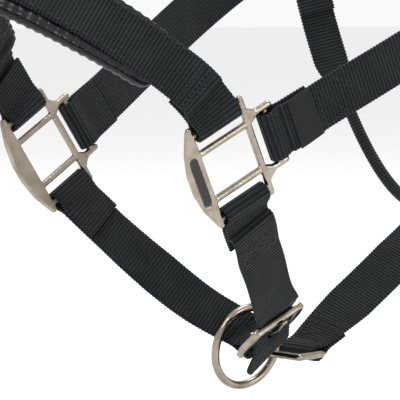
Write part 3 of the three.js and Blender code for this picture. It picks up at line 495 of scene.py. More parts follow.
def stitches(name, spots, body="headcollar"):
    """Rows of thread: a slim rounded bead for each (start, end, outward)."""
    bm = bmesh.new()
    for start, end, outward in spots:
        along = end - start
        side = unit(np.cross(along, outward))
        rise = unit(np.cross(side, along))
        columns = [side * THREAD * MM, rise * THREAD * 0.8 * MM, along / 2 * MM]
        bead = Matrix(columns).transposed().to_4x4()
        bead.translation = row_place((start + end) / 2)
        bmesh.ops.create_uvsphere(bm, u_segments=7, v_segments=5, radius=1, matrix=bead)
    bmesh.ops.recalc_face_normals(bm, faces=bm.faces)
    return shown(name, mesh_of(name, bm), SEWING, body)


def sewn(band, corners, rise=THICK / 2 + 0.05, pitch=STITCH):
    """Stitches along a line of (distance, x) corners on a strap's outer face."""
    spots = []
    for (d0, x0), (d1, x1) in zip(corners, corners[1:]):
        count = max(1, round(math.hypot(d1 - d0, x1 - x0) / pitch))
        for i in range(count):
            first, last = (i + 0.12) / count, (i + 0.88) / count
            ends = [band.outside(d0 + (d1 - d0) * s, x0 + (x1 - x0) * s, rise)
                    for s in (first, last)]
            spots.append((ends[0][0], ends[1][0], ends[0][1]))
    return spots


def boxed_cross(band, near, far, half=10.0):
    """The crossed square of stitches that holds a fold's sewn end."""
    corners = [(near, -half), (near, half), (far, half), (far, -half), (near, -half)]
    return (sewn(band, corners) + sewn(band, [(near, -half), (far, half)])
            + sewn(band, [(near, half), (far, -half)]))


def darned(band, near, far, half=11.6, rows=9):
    """A dense patch of crossed stitches that holds an end across a strap's whole width."""
    slants = []
    for i in range(rows):
        left = -half + 2 * half * i / rows
        right = left + 2 * half / rows
        slants += sewn(band, [(near, left), (far, right)], pitch=DARN_STITCH)
        slants += sewn(band, [(near, right), (far, left)], pitch=DARN_STITCH)
    for at in (near, far):
        slants += sewn(band, [(at, -half), (at, half)], pitch=DARN_STITCH)
    return slants


def zigzag(band, at, half=11.0, reach=2.2, turns=12):
    """A zigzag row across a strap over a cut end."""
    corners = [(at + reach * (1 if i % 2 else -1) / 2, -half + 2 * half * i / turns)
               for i in range(turns + 1)]
    return sewn(band, corners, pitch=9)


# ---------------------------------------------------------------- materials

def linear(colour):
    """Linear red, green, blue and alpha of an sRGB hex colour."""
    parts = [int(colour[i:i + 2], 16) / 255 for i in (1, 3, 5)]
    return (*(p / 12.92 if p <= 0.04045 else ((p + 0.055) / 1.055) ** 2.4 for p in parts), 1)


def add(tree, kind, inputs, output=0, **settings):
    """Adds a node and returns an output; inputs maps sockets to values or other nodes' outputs."""
    made = tree.nodes.new("ShaderNode" + kind)
    for name, value in settings.items():
        setattr(made, name, value)
    for name, value in inputs.items():
        if isinstance(value, bpy.types.NodeSocket):
            tree.links.new(value, made.inputs[name])
        else:
            made.inputs[name].default_value = value
    return made.outputs[output]


def material(name, slot, build, **surface):
    """A Principled material whose build(tree) gives the linked inputs."""
    made = bpy.data.materials.new(name)
    made.use_nodes = True
    tree = made.node_tree
    shader = tree.nodes["Principled BSDF"]
    for socket, value in surface.items():
        shader.inputs[socket.replace("_", " ")].default_value = value
    for socket, output in build(tree).items():
        tree.links.new(output, shader.inputs[socket])
    return made


def blotches(tree, size_mm, low, high, detail=4.0):
    """Soft irregular patches of a size, from low to high."""
    place = add(tree, "TexCoord", {}, output="Object")
    noise = add(tree, "TexNoise", {"Vector": place, "Scale": 1 / (size_mm * MM), "Detail": detail})
    return add(tree, "MapRange",
               {"Value": noise, "From Min": 0.3, "From Max": 0.7, "To Min": low, "To Max": high})


def weave_places(tree):
    """Places across the strap and along it, in millimetres."""
    weave = add(tree, "UVMap", {}, uv_map="weave")
    across = add(tree, "SeparateXYZ", {"Vector": weave}, output="X")
    return across, across.node.outputs["Y"]


def yarn_height(tree, across, along):
    """Height of the yarns in a rib: short floats across it that alternate from rib to rib."""
    ribs_before = add(tree, "Math", {0: along, 1: RIB}, operation="DIVIDE")
    rib_number = add(tree, "Math", {0: ribs_before}, operation="FLOOR")
    shift = add(tree, "Math", {0: rib_number, 1: math.pi}, operation="MULTIPLY")
    angle = add(tree, "Math", {0: across, 1: 2 * math.pi / YARN}, operation="MULTIPLY")
    shifted = add(tree, "Math", {0: angle, 1: shift}, operation="ADD")
    wave = add(tree, "Math", {0: shifted}, operation="SINE")
    return add(tree, "Math", {0: wave, 1: 0.5, 2: 0.5}, operation="MULTIPLY_ADD")


def rib_height(tree, along):
    """1 on a rib and 0 in a groove, as in the mesh."""
    angle = add(tree, "Math", {0: along, 1: 2 * math.pi / RIB}, operation="MULTIPLY")
    wave = add(tree, "Math", {0: angle}, operation="COSINE")
    return add(tree, "Math", {0: wave, 1: 0.5, 2: 0.5}, operation="MULTIPLY_ADD")


# Woven nylon webbing, heat-set in the loom: yarn floats about a millimetre wide over its ribs,
# dyed near-black with a faint blue-green cast; painted shade darkens the grooves and the gaps
# between yarns.
def webbing_inputs(tree):
    across, along = weave_places(tree)
    yarn = yarn_height(tree, across, along)
    rib = rib_height(tree, along)
    fuzz = blotches(tree, 0.35, 0.0, 1.0, detail=2)
    worn = blotches(tree, 14, 0.55, 1.0)
    # painted shade: the colour darkens in the grooves between ribs, times random patches of wear
    rib_shade_and_wear = add(tree, "Math", {0: rib, 1: worn}, operation="MULTIPLY")
    # painted shade: the colour darkens in the gaps between yarn floats
    yarn_gap_shade = add(tree, "Math", {0: yarn, 1: 0.5, 2: 0.5}, operation="MULTIPLY_ADD")
    # painted shade in grooves and yarn gaps, with random wear, sets the colour below
    shade_and_wear_tone = add(tree, "Math", {0: rib_shade_and_wear, 1: yarn_gap_shade}, operation="MULTIPLY")
    ribbed = add(tree, "Bump", {"Height": rib, "Distance": 0.4 * MM})
    woven = add(tree, "Bump", {"Height": yarn, "Distance": 0.16 * MM, "Normal": ribbed})
    fuzzy = add(tree, "Bump", {"Height": fuzz, "Distance": 0.05 * MM, "Normal": woven})
    tones = {0: shade_and_wear_tone, 6: linear("#080b0c"), 7: linear("#2b3235")}
    colour = add(tree, "Mix", tones, output=2, data_type="RGBA")
    return {"Base Color": colour,
            "Roughness": blotches(tree, 6, 0.5, 0.68), "Normal": fuzzy}


# Drum-dyed cowhide, buffed and finished semi-gloss: fine pores and soft creases, with painted shade
# in the creases.
def leather_inputs(tree):
    place = add(tree, "TexCoord", {}, output="Object")
    pores = add(tree, "TexVoronoi", {"Vector": place, "Scale": 1 / (1.1 * MM)})
    crease_height_and_shade = blotches(tree, 5, 0.0, 1.0)
    pored = add(tree, "Bump", {"Height": pores, "Distance": 0.12 * MM})
    creased = add(tree, "Bump", {"Height": crease_height_and_shade, "Distance": 0.5 * MM, "Normal": pored})
    # painted shade: the colour is darker where the creases sink
    tones = {0: crease_height_and_shade, 6: linear("#060708"), 7: linear("#0e1112")}
    colour = add(tree, "Mix", tones, output=2, data_type="RGBA")
    return {"Base Color": colour,
            "Roughness": blotches(tree, 9, 0.24, 0.4), "Normal": creased}


# Knobbly embossed lining fabric, moulded with small domes about two millimetres apart, with painted
# shade between them.
def lining_inputs(tree):
    place = add(tree, "TexCoord", {}, output="Object")
    knobs = add(tree, "TexVoronoi", {"Vector": place, "Scale": 1 / (2.1 * MM)})
    dome_height_and_shade = add(tree, "Math", {0: 1.0, 1: knobs}, operation="SUBTRACT")
    # painted shade: the colour is darker in the hollows between the domes
    tones = {0: dome_height_and_shade, 6: linear("#0a0c0d"), 7: linear("#191d1f")}
    colour = add(tree, "Mix", tones, output=2, data_type="RGBA")
    return {"Base Color": colour,
            "Roughness": blotches(tree, 8, 0.5, 0.7),
            "Normal": add(tree, "Bump", {"Height": dome_height_and_shade, "Distance": 0.8 * MM})}


# Zinc casting and drawn steel wire, polished and nickel plated, with faint handling scratches
# and the slightly warm tone of nickel.
def nickel_inputs(tree):
    haze = blotches(tree, 7, 0.0, 1.0)
    scratches = blotches(tree, 0.5, 0.0, 1.0, detail=3)
    tones = {0: haze, 6: linear("#857b6e"), 7: linear("#a89e90")}
    colour = add(tree, "Mix", tones, output=2, data_type="RGBA")
    return {"Base Color": colour,
            "Roughness": blotches(tree, 4, 0.16, 0.3),
            "Normal": add(tree, "Bump", {"Height": scratches, "Distance": 0.012 * MM})}


# The same casting's back, tumbled but never polished, so the plating stays matt.
def back_inputs(tree):
    grain = blotches(tree, 0.7, 0.0, 1.0, detail=6)
    haze = blotches(tree, 9, 0.0, 1.0)
    tones = {0: haze, 6: linear("#7f7567"), 7: linear("#9a8f80")}
    colour = add(tree, "Mix", tones, output=2, data_type="RGBA")
    return {"Base Color": colour,
            "Roughness": blotches(tree, 3, 0.5, 0.62),
            "Normal": add(tree, "Bump", {"Height": grain, "Distance": 0.06 * MM})}


# Stove enamel run into the sunk oval: black, hard and glossy, with a slight orange peel.
def enamel_inputs(tree):
    peel = blotches(tree, 1.2, 0.0, 1.0, detail=2)
    tones = {0: peel, 6: linear("#0a0a0b"), 7: linear("#131414")}
    colour = add(tree, "Mix", tones, output=2, data_type="RGBA")
    return {"Base Color": colour,
            "Normal": add(tree, "Bump", {"Height": peel, "Distance": 0.02 * MM})}


# Bonded polyester sewing thread, twisted and waxed.
def thread_inputs(tree):
    twist = blotches(tree, 0.5, 0.0, 1.0)
    tones = {0: twist, 6: linear("#121618"), 7: linear("#23282b")}
    colour = add(tree, "Mix", tones, output=2, data_type="RGBA")
    return {"Base Color": colour,
            "Normal": add(tree, "Bump", {"Height": twist, "Distance": 0.05 * MM})}


# Black satin ribbon, woven in long floats, with cut and folded ends.
def ribbon_inputs(tree):
    floats = blotches(tree, 0.4, 0.0, 1.0, detail=2)
    tones = {0: floats, 6: linear("#060708"), 7: linear("#0b0d0f")}
    colour = add(tree, "Mix", tones, output=2, data_type="RGBA")
    return {"Base Color": colour,
            "Normal": add(tree, "Bump", {"Height": floats, "Distance": 0.03 * MM})}


WEBBING = material("ribbed_nylon", "webbing", webbing_inputs, Sheen_Weight=0.06, Sheen_Roughness=0.4,
                   Specular_IOR_Level=0.1)
LEATHER = material("buffed_leather", "leather", leather_inputs, Coat_Weight=0.12, Coat_Roughness=0.2,
                   Specular_IOR_Level=0.25)
LINING = material("knobbly_lining", "leather", lining_inputs, Specular_IOR_Level=0.15)
NICKEL = material("polished_nickel", "nickel", nickel_inputs, Metallic=1.0)
NICKEL_BACK = material("tumbled_nickel", "nickel", back_inputs, Metallic=0.55)
ENAMEL = material("black_enamel", "nickel", enamel_inputs, Roughness=0.2)
SEWING = material("polyester_thread", "webbing", thread_inputs, Roughness=0.5,
                  Specular_IOR_Level=0.25)
RIBBON = material("satin_ribbon", "label", ribbon_inputs, Roughness=0.45,
                  Specular_IOR_Level=0.2)

# ---------------------------------------------------------------- frames and routes

def square_frame(side):
    back = turn(in_plane(HEAD_SLOPE), (0, 0, 1), -SQUARE_TOE)
    up = turn(in_plane(HEAD_SLOPE + 90), (0, 0, 1), -SQUARE_TOE)
    up = turn(up, back, SQUARE_LEAN)
    return Frame(on_side(SQUARE_CENTRE, side), on_side(back, side), on_side(up, side))


SQUARES = {side: square_frame(side) for side in (1, -1)}
BAR_FOLD = {"reach": BAR_REACH, "sewn": 24}


def ring_fold(width, sewn=24):
    sag = RING_RADIUS - math.sqrt(RING_RADIUS ** 2 - (width / 2) ** 2)
    return {"reach": RING_WIRE / 2, "sewn": sewn, "slack": sag + 0.3}


def ring_point(side, degrees):
    """Point on an upper ring's wire, the way out from its middle, and the outward direction."""
    up = in_plane(CROWN_ANGLE) - vec(0.2, 0, 0)
    down = in_plane(THROAT_ANGLE) - vec(0.1, 0, 0)
    ring_frame = Frame(on_side(RING_CENTRE, side), on_side(up, side), on_side(down, side))
    z = ring_frame.z
    out = in_plane(degrees)
    out = unit(out - z * np.dot(out, z))
    return ring_frame.o + out * RING_RADIUS, out, z * np.sign(z[0]) * side


def facing(outward, t):
    """Width direction that turns a strap's outer face outward."""
    return unit(np.cross(outward, t))


def noseband_route():
    near = SQUARES[1]
    start = near.at(0, SQUARE_BAR, 0)
    rise = start + near.y * NOSE_RISE
    flat = vec(*NOSE_BRIDGE) + vec(NOSE_FLAT, 0, 0)
    half = bezier(start, rise, flat, NOSE_BRIDGE)
    points = np.vstack([half, mirror(half)[::-1]])
    return Route(points, [-near.x, vec(0, -0.82, -0.57), mirror(-near.x)])


def cheek_route(side):
    square = SQUARES[side]
    start = square.at(SQUARE_BACK_BAR, 0, 0)
    point, out, outward = ring_point(side, CHEEK_ANGLE)
    points = bezier(start, start + square.x * CHEEK_LEAVE, point + out * CHEEK_ARRIVE, point)
    across = [facing(on_side(SQUARES[1].z, side), square.x), facing(outward, -out)]
    return Route(points, across)


CHIN_BUCKLE = Frame(CHIN_HEEL, (0, 0.917, 0.4), (0.81, -0.27, 0.52))
FOLD_OUTSIDE = BAR_REACH + FOLD_CLEAR + THICK
BILLET_UNDER = -(CAST_BAR / 2 + 0.3 + THICK / 2)
BILLET_OVER = FOLD_OUTSIDE + 0.3 + THICK / 2


def billet_height(y):
    """Height of a billet over a buckle: under its front bar, out over its heel bar."""
    turn_from, turn_to = BUCKLE - CAST_BAR / 2 - 1, 2
    share = np.clip((turn_from - y) / (turn_from - turn_to), 0, 1)
    return BILLET_UNDER + (BILLET_OVER - BILLET_UNDER) * share


def in_buckle(buckle, start, first):
    """Places of a billet from y = start down to the heel bar, first being start's distance."""
    places = [y for y in (BUCKLE + 6, BUCKLE, 18, 15, 12, 9, 6, 3, 0) if y < start]
    return [(buckle.at(0, y, billet_height(y)), buckle.x, first + start - y)
            for y in [start, *places]]


def chin_start(side):
    square = SQUARES[side]
    bottom = square.at(0, -SQUARE_BAR, 0)
    inward = -square.z * np.sign(square.z[0]) * side
    lean = math.radians(CHIN_LEAN)
    down = -square.y * math.cos(lean) + inward * math.sin(lean)
    return [bottom + down * distance for distance in (0, 5, 11)]


def chin_strap_route():
    arrive = unit(np.cross(np.cross(CHIN_BUCKLE.x, (0.9, 0.16, -0.37)), CHIN_BUCKLE.x))
    ends = [CHIN_BUCKLE.o - arrive * distance for distance in (14, 6, 0)]
    points = through([*chin_start(-1), (-46, 40, -53), (-28, 62, -76), *ends])
    x = SQUARES[-1].x
    return Route(points, [-x, -x, -vec(0, 0.87, 0.49), -CHIN_BUCKLE.x, -CHIN_BUCKLE.x])


def chin_billet_route():
    entry = CHIN_BUCKLE.at(0, BUCKLE + CHIN_ENTRY, BILLET_UNDER)
    points = through([*chin_start(1), (47, 40, -52), (33, 58, -70), entry])
    x = SQUARES[1].x
    return Route(points, [x, x, CHIN_BUCKLE.x, CHIN_BUCKLE.x])


def jaw_route():
    lower, upper = vec(*JAW_BAR), vec(*THROAT_LOW)
    (rise, reach), (rise_high, reach_high) = JAW_LEAVE, JAW_ARRIVE
    points = bezier(lower, lower + in_plane(rise) * reach,
                    upper - in_plane(rise_high) * reach_high, upper)
    level, twist = vec(-1, 0, 0), -vec(0.85, 0.25, -0.4)
    return Route(points, [level, twist, twist, level])


def throat_route():
    far, far_out, far_face = ring_point(-1, THROAT_ANGLE)
    near, near_out, near_face = ring_point(1, THROAT_ANGLE)
    start = near + near_out * HOOK_LENGTH
    low_far, low_near = (vec(*THROAT_LOW) + vec(x, 0, 0) for x in (-WIDTH / 2 - 1, WIDTH / 2 + 1))
    bend = vec(30, 0, 0)
    points = np.vstack([
        bezier(far, far + far_out * 60, low_far - bend, low_far),
        bezier(low_near, low_near + bend, start + near_out * 45, start),
    ])
    at_far, at_near = facing(far_face, far_out), facing(near_face, -near_out)
    low = vec(0, 1, 0.1)
    return Route(points, [at_far, at_far, low, low, at_near, at_near])


def crown_route():
    far, far_out, far_face = ring_point(-1, CROWN_ANGLE)
    near, near_out, near_face = ring_point(1, CROWN_ANGLE)
    poll, flat = vec(*POLL), vec(POLL_FLAT, 0, 0)
    points = np.vstack([bezier(far, far + far_out * CROWN_RISE, poll - flat, poll),
                        bezier(poll, poll + flat, near + near_out * CROWN_RISE, near)])
    at_far, at_near = facing(far_face, far_out), facing(near_face, -near_out)
    at_poll = vec(0, 1, 0)
    part_far, part_near = (v * 0.4 + at_poll * 0.6 for v in (at_far, at_near))
    return Route(points, [at_far, part_far, at_poll, at_poll, part_near, at_near])


# ---------------------------------------------------------------- pads

PUCKER = 4.6  # pitch of the gathers that the rim's stitches pull in
CHANNEL = 24  # pitch of the sewn channels across the lining
PAD_STEP = 0.7
PAD_GAP = 0.45  # between a pad and the webbing over it
PAD_END = 8  # length over which a pad's end closes


def pad(name, route, start, stop, sizes, nodes):
    """A stuffed leather pad under a strap, with a puckered rim and a quilted lining inside."""
    width, thick = sizes["width"], sizes["thick"]
    under = LAYER - THICK / 2 - PAD_GAP - thick / 2
    d = np.arange(start, stop, PAD_STEP)
    p, b = route.lift(d, np.full(len(d), under))
    band = Band(p, b, d, np.ones(len(d), bool))
    share = (d - start) / (stop - start)
    fullness = np.sin(math.pi * share) ** 0.6
    half = (sizes["end_width"] + (width - sizes["end_width"]) * fullness) / width
    from_end = np.clip(np.minimum(d - start, stop - d) / PAD_END, 0, 1)
    closing = np.sqrt(np.clip(from_end * (2 - from_end), 0.03, 1))
    gather = 0.5 + 0.5 * np.cos(2 * math.pi * d / PUCKER)
    channel = np.exp(-(((d + CHANNEL / 2) % CHANNEL - CHANNEL / 2) / 1.8) ** 2)

    def shape(x, row, z):
        out = np.abs(x) / (width / 2)
        rim = smoothstep(out, 0.5, 0.92)
        seam = np.exp(-((out - 0.86) / 0.045) ** 2)
        crown = 0.34 + 0.66 * np.sqrt(np.clip(1 - out ** 3.2, 0, 1)) - 0.16 * seam
        pulled = rim * gather[row]
        inside = (z < 0) * smoothstep(0.8 - out, 0, 0.15) * channel[row]
        return (x * half[row] * (0.7 + 0.3 * closing[row]) * (1 - 0.022 * pulled),
                z * crown * closing[row] * (1 - 0.2 * pulled) * (1 - 0.35 * inside))
    strip = flat_strip(width, thick, len(d) - 1, cells=44, edge=1.6)
    for face in strip.faces:
        if face.normal.z < -0.5 and abs(face.calc_center_median().x) < 0.4 * width:
            face.material_index = 1
    piece = shown(name, bent(name, strip, band, shape), LEATHER, replaces=nodes)
    piece.data.materials.append(LINING)
    return piece


# ---------------------------------------------------------------- the pieces

def make_noseband():
    route = noseband_route()
    step = {**BAR_FOLD, "roll_at": 13, "roll": 1.0}
    band = band_of(*lay(route, step, step))
    webbing("noseband", band, "noseband_webbing")
    start = NOSE_PAD["start"]
    pad("noseband_pad", route, start, route.length - start, NOSE_PAD,
        ("noseband_pad_cover", "noseband_foam"))
    spots = darned(band, 16, 23) + darned(band, route.length - 23, route.length - 16)
    for x in (-PAD_STITCH_EDGE, PAD_STITCH_EDGE):
        spots += sewn(band, [(30, x), (route.length - 30, x)], pitch=PAD_STITCH)
    stitches("noseband_stitching", spots)


def make_cheek(side, word):
    route = cheek_route(side)
    step = {**BAR_FOLD, "roll_at": 7, "roll": 0.9}
    band = band_of(*lay(route, step, ring_fold(WIDTH)))
    webbing(f"cheek_strap_{word}_webbing", band, f"cheek_strap_{word}")
    spots = boxed_cross(band, 27, 40) if side > 0 else boxed_cross(band, 8, 22)
    spots += zigzag(band, 44 if side > 0 else 25)
    spots += boxed_cross(band, route.length - 10, route.length - 24)
    spots += zigzag(band, route.length - 27)
    stitches(f"cheek_stitching_{word}", spots)
    return band


def make_label(band):
    """A folded satin ribbon sewn across the near cheek strap, left blank."""
    start, stop = LABEL_START, LABEL_START + LABEL_LENGTH
    keep = band.top & (band.distance > start) & (band.distance < stop)
    p = band.p[keep] + band.n[keep] * (THICK / 2 + 0.36)
    strip = Band(p, band.b[keep], band.distance[keep], band.top[keep])
    from_end = np.minimum(strip.along, strip.along[-1] - strip.along)
    turned = 1 - 0.5 * np.exp(-from_end / 0.8)

    def shape(x, row, z):
        return x, z * turned[row]
    ribbon = flat_strip(WIDTH + 0.2, 0.6, len(p) - 1, edge=0.2)
    shown("label_ribbon", bent("label_ribbon", ribbon, strip, shape), RIBBON,
          replaces=("size_label",))
    edge = []
    for at in (start + 1.5, stop - 1.5):
        edge += sewn(strip, [(at, -11), (at, 11)], 0.36, 2.4)
    stitches("label_stitching", edge)


def make_chin():
    strap_route = chin_strap_route()
    strap = band_of(*lay(strap_route, BAR_FOLD, {"reach": BAR_REACH, "sewn": 13}))
    obj = webbing("chin_strap_webbing", strap, "chin_strap")
    tongue_slot(obj, CHIN_BUCKLE)
    spots = boxed_cross(strap, 8, 22) + zigzag(strap, 25)
    stitches("chin_strap_stitching", spots)

    route = chin_billet_route()
    laid = lay(route, {**BAR_FOLD, "roll_at": 14, "roll": 1.9}, stop=6)
    places = in_buckle(CHIN_BUCKLE, BUCKLE + CHIN_ENTRY, route.length)
    for share in (0.3, 0.6, 1):
        width = turn(CHIN_BUCKLE.x, CHIN_BUCKLE.y, 10 * share)
        point = CHIN_BUCKLE.at(0, -CHIN_TIP * share, BILLET_OVER + share ** 2)
        places.append((point, width, route.length + BUCKLE + CHIN_ENTRY + CHIN_TIP * share))
    billet = band_of(*chain(*laid, places))
    obj = webbing("chin_billet_webbing", billet, "chin_billet",
                  point_from=billet.along[-1] - 9)
    punched(obj, [(CHIN_BUCKLE.at(0, PINCH, billet_height(PINCH)), CHIN_BUCKLE.z)])
    stitches("chin_billet_stitching", boxed_cross(billet, 24, 36))


def make_jaw():
    route = jaw_route()
    band = band_of(*lay(route, {"reach": JAW_WIRE, "sewn": 20},
                        {"reach": THROAT_ROLL / 2 + 0.3, "sewn": 22, "slack": 0.3}))
    webbing("jaw_strap_webbing", band, "jaw_strap")
    spots = boxed_cross(band, 7, 19) + zigzag(band, 22)
    spots += boxed_cross(band, route.length - 10, route.length - 21)
    stitches("jaw_stitching", spots)


def make_throat():
    """The throat lash: flat at its ends, rolled and sewn into a cord between them."""
    route = throat_route()

    def rolled(distance):
        from_end = np.minimum(distance, route.length - distance)
        return smoothstep(from_end, THROAT_FLAT, THROAT_FLAT + THROAT_TAPER)
    band = band_of(*lay(route, ring_fold(THROAT_WIDTH, 20), {"reach": BAR_REACH, "sewn": 20},
                        height=lambda distance: LAYER * (1 - rolled(distance))))
    share = rolled(band.distance) * band.top
    rib = ribs(band.along)

    def shape(x, row, z):
        """From the flat section to one wrapped evenly round a circle."""
        across, up = x / (THROAT_WIDTH / 2), z / (THICK / 2)
        round_up = up * np.cos(across * math.radians(78))
        round_across = np.sign(across) * np.sqrt(np.clip(1 - round_up ** 2, 0, 1))
        cord, part, groove = THROAT_ROLL / 2, share[row], 1 - 0.06 * (1 - rib[row])
        return (((1 - part) * x + part * cord * round_across) * groove,
                ((1 - part) * z + part * cord * round_up) * groove)
    name = "throat_lash_webbing"
    strip = flat_strip(THROAT_WIDTH, THICK, len(band.p) - 1, cells=16)
    shown(name, bent(name, strip, band, shape), WEBBING, replaces=("throat_lash",))
    spots = boxed_cross(band, 9, 19, 8) + zigzag(band, 22, 8.6, turns=9)
    spots += boxed_cross(band, route.length - 9, route.length - 19, 8)
    stitches("throat_stitching", spots)


def make_crown():
    route = crown_route()
    heel_at = route.length - CHAPE
    ends, across = route.lift([heel_at, heel_at - BUCKLE], [0, 0])
    buckle = Frame(ends[0], across[0], ends[1] - ends[0])
    laid = lay(route, ring_fold(WIDTH), stop=CHAPE + BUCKLE + 26)
    places = in_buckle(buckle, BUCKLE + 14, heel_at - BUCKLE - 14)
    top, _, face = ring_point(1, CROWN_ANGLE)
    chape_route = Route(np.array([top, buckle.o]), [facing(face, buckle.o - top), -buckle.x])
    rest = LAYER + THICK + 0.3
    for beyond in np.linspace(5, CROWN_TIP, 7):
        drop = smoothstep(beyond, 0, 14)
        height = BILLET_OVER + (rest - BILLET_OVER) * drop
        p, b = chape_route.lift([CHAPE - beyond], [height])
        places.append((p[0], -b[0], heel_at + beyond))
    strap = band_of(*chain(*laid, places))
    obj = webbing("crown_webbing", strap, "crown_strap",
                  point_from=strap.along[-1] - 11)
    holes = [(buckle.at(0, PINCH, billet_height(PINCH)), buckle.z)]
    for i in (1, 2, 3):
        y = PINCH + HOLE_PITCH * i
        if y < BUCKLE + 14:
            holes.append((buckle.at(0, y, billet_height(y)), buckle.z))
        else:
            holes.append(strap.outside(heel_at - y, 0, 0))
    below, width = chape_route.lift([CHAPE + PINCH - HOLE_PITCH], [rest])
    holes.append((below[0], strap.outside(heel_at + HOLE_PITCH - PINCH, 0)[1]))
    punched(obj, holes)
    stitches("crown_stitching", boxed_cross(strap, 10, 23) + zigzag(strap, 26))

    chape = band_of(*lay(chape_route, ring_fold(WIDTH, CHAPE / 2 - 0.5),
                         {"reach": BAR_REACH, "sewn": CHAPE / 2 - 1}))
    obj = webbing("crown_chape_webbing", chape, "crown_chape")
    tongue_slot(obj, buckle)
    make_keeper(chape_route, rest)
    half = CROWN_PAD["length"] / 2
    pad("crown_pad", route, route.length / 2 - half, route.length / 2 + half, CROWN_PAD,
        ("crown_pad_cover", "crown_foam"))
    spots = []
    for x in (-PAD_STITCH_EDGE, PAD_STITCH_EDGE):
        spots += sewn(strap, [(route.length / 2 - half + 3, x), (route.length / 2 + half - 3, x)],
                      pitch=PAD_STITCH)
    stitches("crown_pad_stitching", spots)


def make_keeper(chape_route, rest):
    """A loop of narrow webbing round the billet and the chape, joined underneath."""
    p, b = chape_route.lift([CHAPE - 24, CHAPE - 25], [0, 0])
    keeper = Frame(p[0], b[0], p[1] - p[0])
    clear = KEEPER_THICK + 0.8
    low, high, half, corner = -LAYER - clear, rest + clear, WIDTH / 2 + 1.4, 1.6
    path = []
    for cx, cz, first in ((half, high, 0), (-half, high, 90), (-half, low, 180), (half, low, 270)):
        middle = (cx - math.copysign(corner, cx), cz - (corner if cz > 0 else -corner))
        for a in np.radians(np.linspace(first, first + 90, 6)):
            path.append(keeper.at(middle[0] + corner * math.cos(a), 0,
                                  middle[1] + corner * math.sin(a)))
    path = np.array([*path, path[0]])
    run = np.concatenate([[0], np.cumsum(np.linalg.norm(np.diff(path, axis=0), axis=1))])
    fine = np.linspace(0, run[-1], int(run[-1] / STEP))
    p = np.stack([np.interp(fine, run, path[:, k]) for k in range(3)], -1)
    loop = Band(p, np.tile(keeper.y, (len(p), 1)), fine, np.ones(len(p), bool))
    rib = ribs(loop.along)

    def shape(x, row, z):
        groove = 1 - rib[row]
        return x * (1 - 0.02 * groove), z * (1 - 0.16 * groove)
    strip = flat_strip(KEEPER_WIDTH, KEEPER_THICK, len(p) - 1, cells=6, edge=0.4)
    shown("keeper_loop", bent("keeper_loop", strip, loop, shape), WEBBING, "keeper",
          ("crown_keeper",))


def make_squares():
    """Cheek squares: polished outside, matt inside, with a plain black oval in the crescent."""
    for side, word in ((1, "near"), (-1, "far")):
        piece = cast(f"square_{word}", f"cheek_square_{word}")
        piece.data.materials.append(NICKEL_BACK)
        piece.data.materials.append(ENAMEL)
        square = SQUARES[side]
        outward = Vector(square.z * np.sign(square.z[0]) * side)
        for polygon in piece.data.polygons:
            offset = np.array(polygon.center) / MM + SEAT - square.o
            x, y, z = (float(offset @ axis) for axis in (square.x, square.y, square.z))
            depth = z * np.sign(square.z[0]) * side
            on_oval = abs(x - OVAL_X) < OVAL_HALF and abs(y) < OVAL_REACH
            if polygon.normal.dot(outward) < -0.8:
                polygon.material_index = 1
            elif on_oval and 0 < depth < OVAL_FLOOR + 0.25:
                polygon.material_index = 2


def make_fittings():
    make_squares()
    ring("ring_near", "upper_ring_near")
    ring("ring_far", "upper_ring_far")
    ring("lead_ring_wire", "lead_ring", "lead_ring")
    cast("jaw_link", "jaw_loop")
    for place in ("chin", "crown"):
        cast(f"{place}_buckle", f"{place}_buckle_frame")
        cast(f"{place}_tongue_pin", f"{place}_buckle_tongue", f"{place}_tongue", 0.3, 3)
    cast("hook_body", "snap_hook", "hook", 0.32, 4)
    cast("hook_pin", "snap_gate_pin", "hook", 0.15, 1)
    cast("hook_gate", "snap_gate", "gate", 0.25, 3)
    cast("hook_eye", "snap_swivel_eye", "headcollar", 0.36, 4)


# ---------------------------------------------------------------- camera, floor and light

AZIMUTH, ELEVATION = 51.5, 3.0
CAMERA_DISTANCE = 1300  # from the working frame's origin
SENSOR, LENS = 36, 245.7
AIM_RIGHT, AIM_DOWN = 31.05, 21.0  # from the working frame's origin to the point looked at


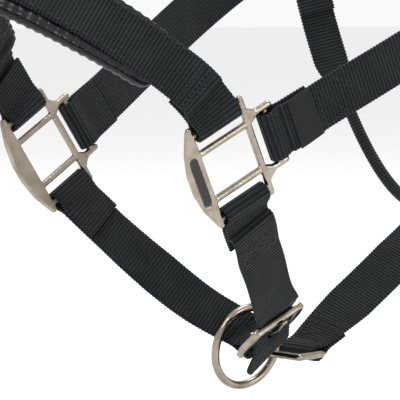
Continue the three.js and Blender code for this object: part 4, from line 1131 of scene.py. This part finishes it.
def make_camera():
    a, e = math.radians(AZIMUTH), math.radians(ELEVATION)
    back = vec(math.sin(a) * math.cos(e), -math.cos(a) * math.cos(e), math.sin(e))
    right = vec(math.cos(a), math.sin(a), 0)
    up = np.cross(back, right)
    look = unit(-back * CAMERA_DISTANCE + right * AIM_RIGHT - up * AIM_DOWN)
    data = bpy.data.cameras.new("camera")
    data.sensor_width = SENSOR
    data.lens = LENS
    camera = bpy.data.objects.new("camera", data)
    camera.location = (back * CAMERA_DISTANCE - SEAT) * MM
    camera.rotation_mode = "QUATERNION"
    camera.rotation_quaternion = Vector(look).to_track_quat("-Z", "Y")
    bpy.context.scene.collection.objects.link(camera)
    bpy.context.scene.camera = camera


FLOOR_GAP = 0.03  # metres below the headcollar


def make_floor():
    """A pale floor just below the headcollar."""
    low = cad_box[0].z - FLOOR_GAP
    bm = bmesh.new()
    bmesh.ops.create_grid(bm, x_segments=1, y_segments=1, size=30)
    bmesh.ops.translate(bm, vec=(0, 0, low), verts=bm.verts)
    mesh = mesh_of("floor", bm)
    paper = bpy.data.materials.new("floor_paper")
    paper.use_nodes = True
    shader = paper.node_tree.nodes["Principled BSDF"]
    shader.inputs["Base Color"].default_value = linear("#f2f2f2")
    shader.inputs["Roughness"].default_value = 0.9
    mesh.materials.append(paper)
    floor = bpy.data.objects.new("floor", mesh)
    bpy.context.scene.collection.objects.link(floor)


def area_light(name, place, size, power):
    data = bpy.data.lights.new(name, "AREA")
    data.size = size
    data.energy = power
    lamp = bpy.data.objects.new(name, data)
    lamp.location = place
    target = Vector((0, -0.15, -0.2))
    lamp.rotation_mode = "QUATERNION"
    lamp.rotation_quaternion = (target - Vector(place)).to_track_quat("-Z", "Y")
    bpy.context.scene.collection.objects.link(lamp)


def make_light():
    world = bpy.data.worlds.new("studio")
    world.use_nodes = True
    sky = world.node_tree.nodes["Background"]
    sky.inputs["Color"].default_value = linear("#ffffff")
    sky.inputs["Strength"].default_value = 0.95
    bpy.context.scene.world = world
    bpy.context.scene.view_settings.view_transform = "Standard"
    area_light("key", (0.6, -1.6, 1.3), 0.8, 24)
    area_light("fill", (1.9, 0.4, 0.4), 0.9, 10)
    area_light("top", (-0.3, 0.5, 1.8), 0.9, 18)


make_camera()
make_floor()
make_light()
make_noseband()
make_label(make_cheek(1, "near"))
make_cheek(-1, "far")
make_chin()
make_jaw()
make_throat()
make_crown()
make_fittings()
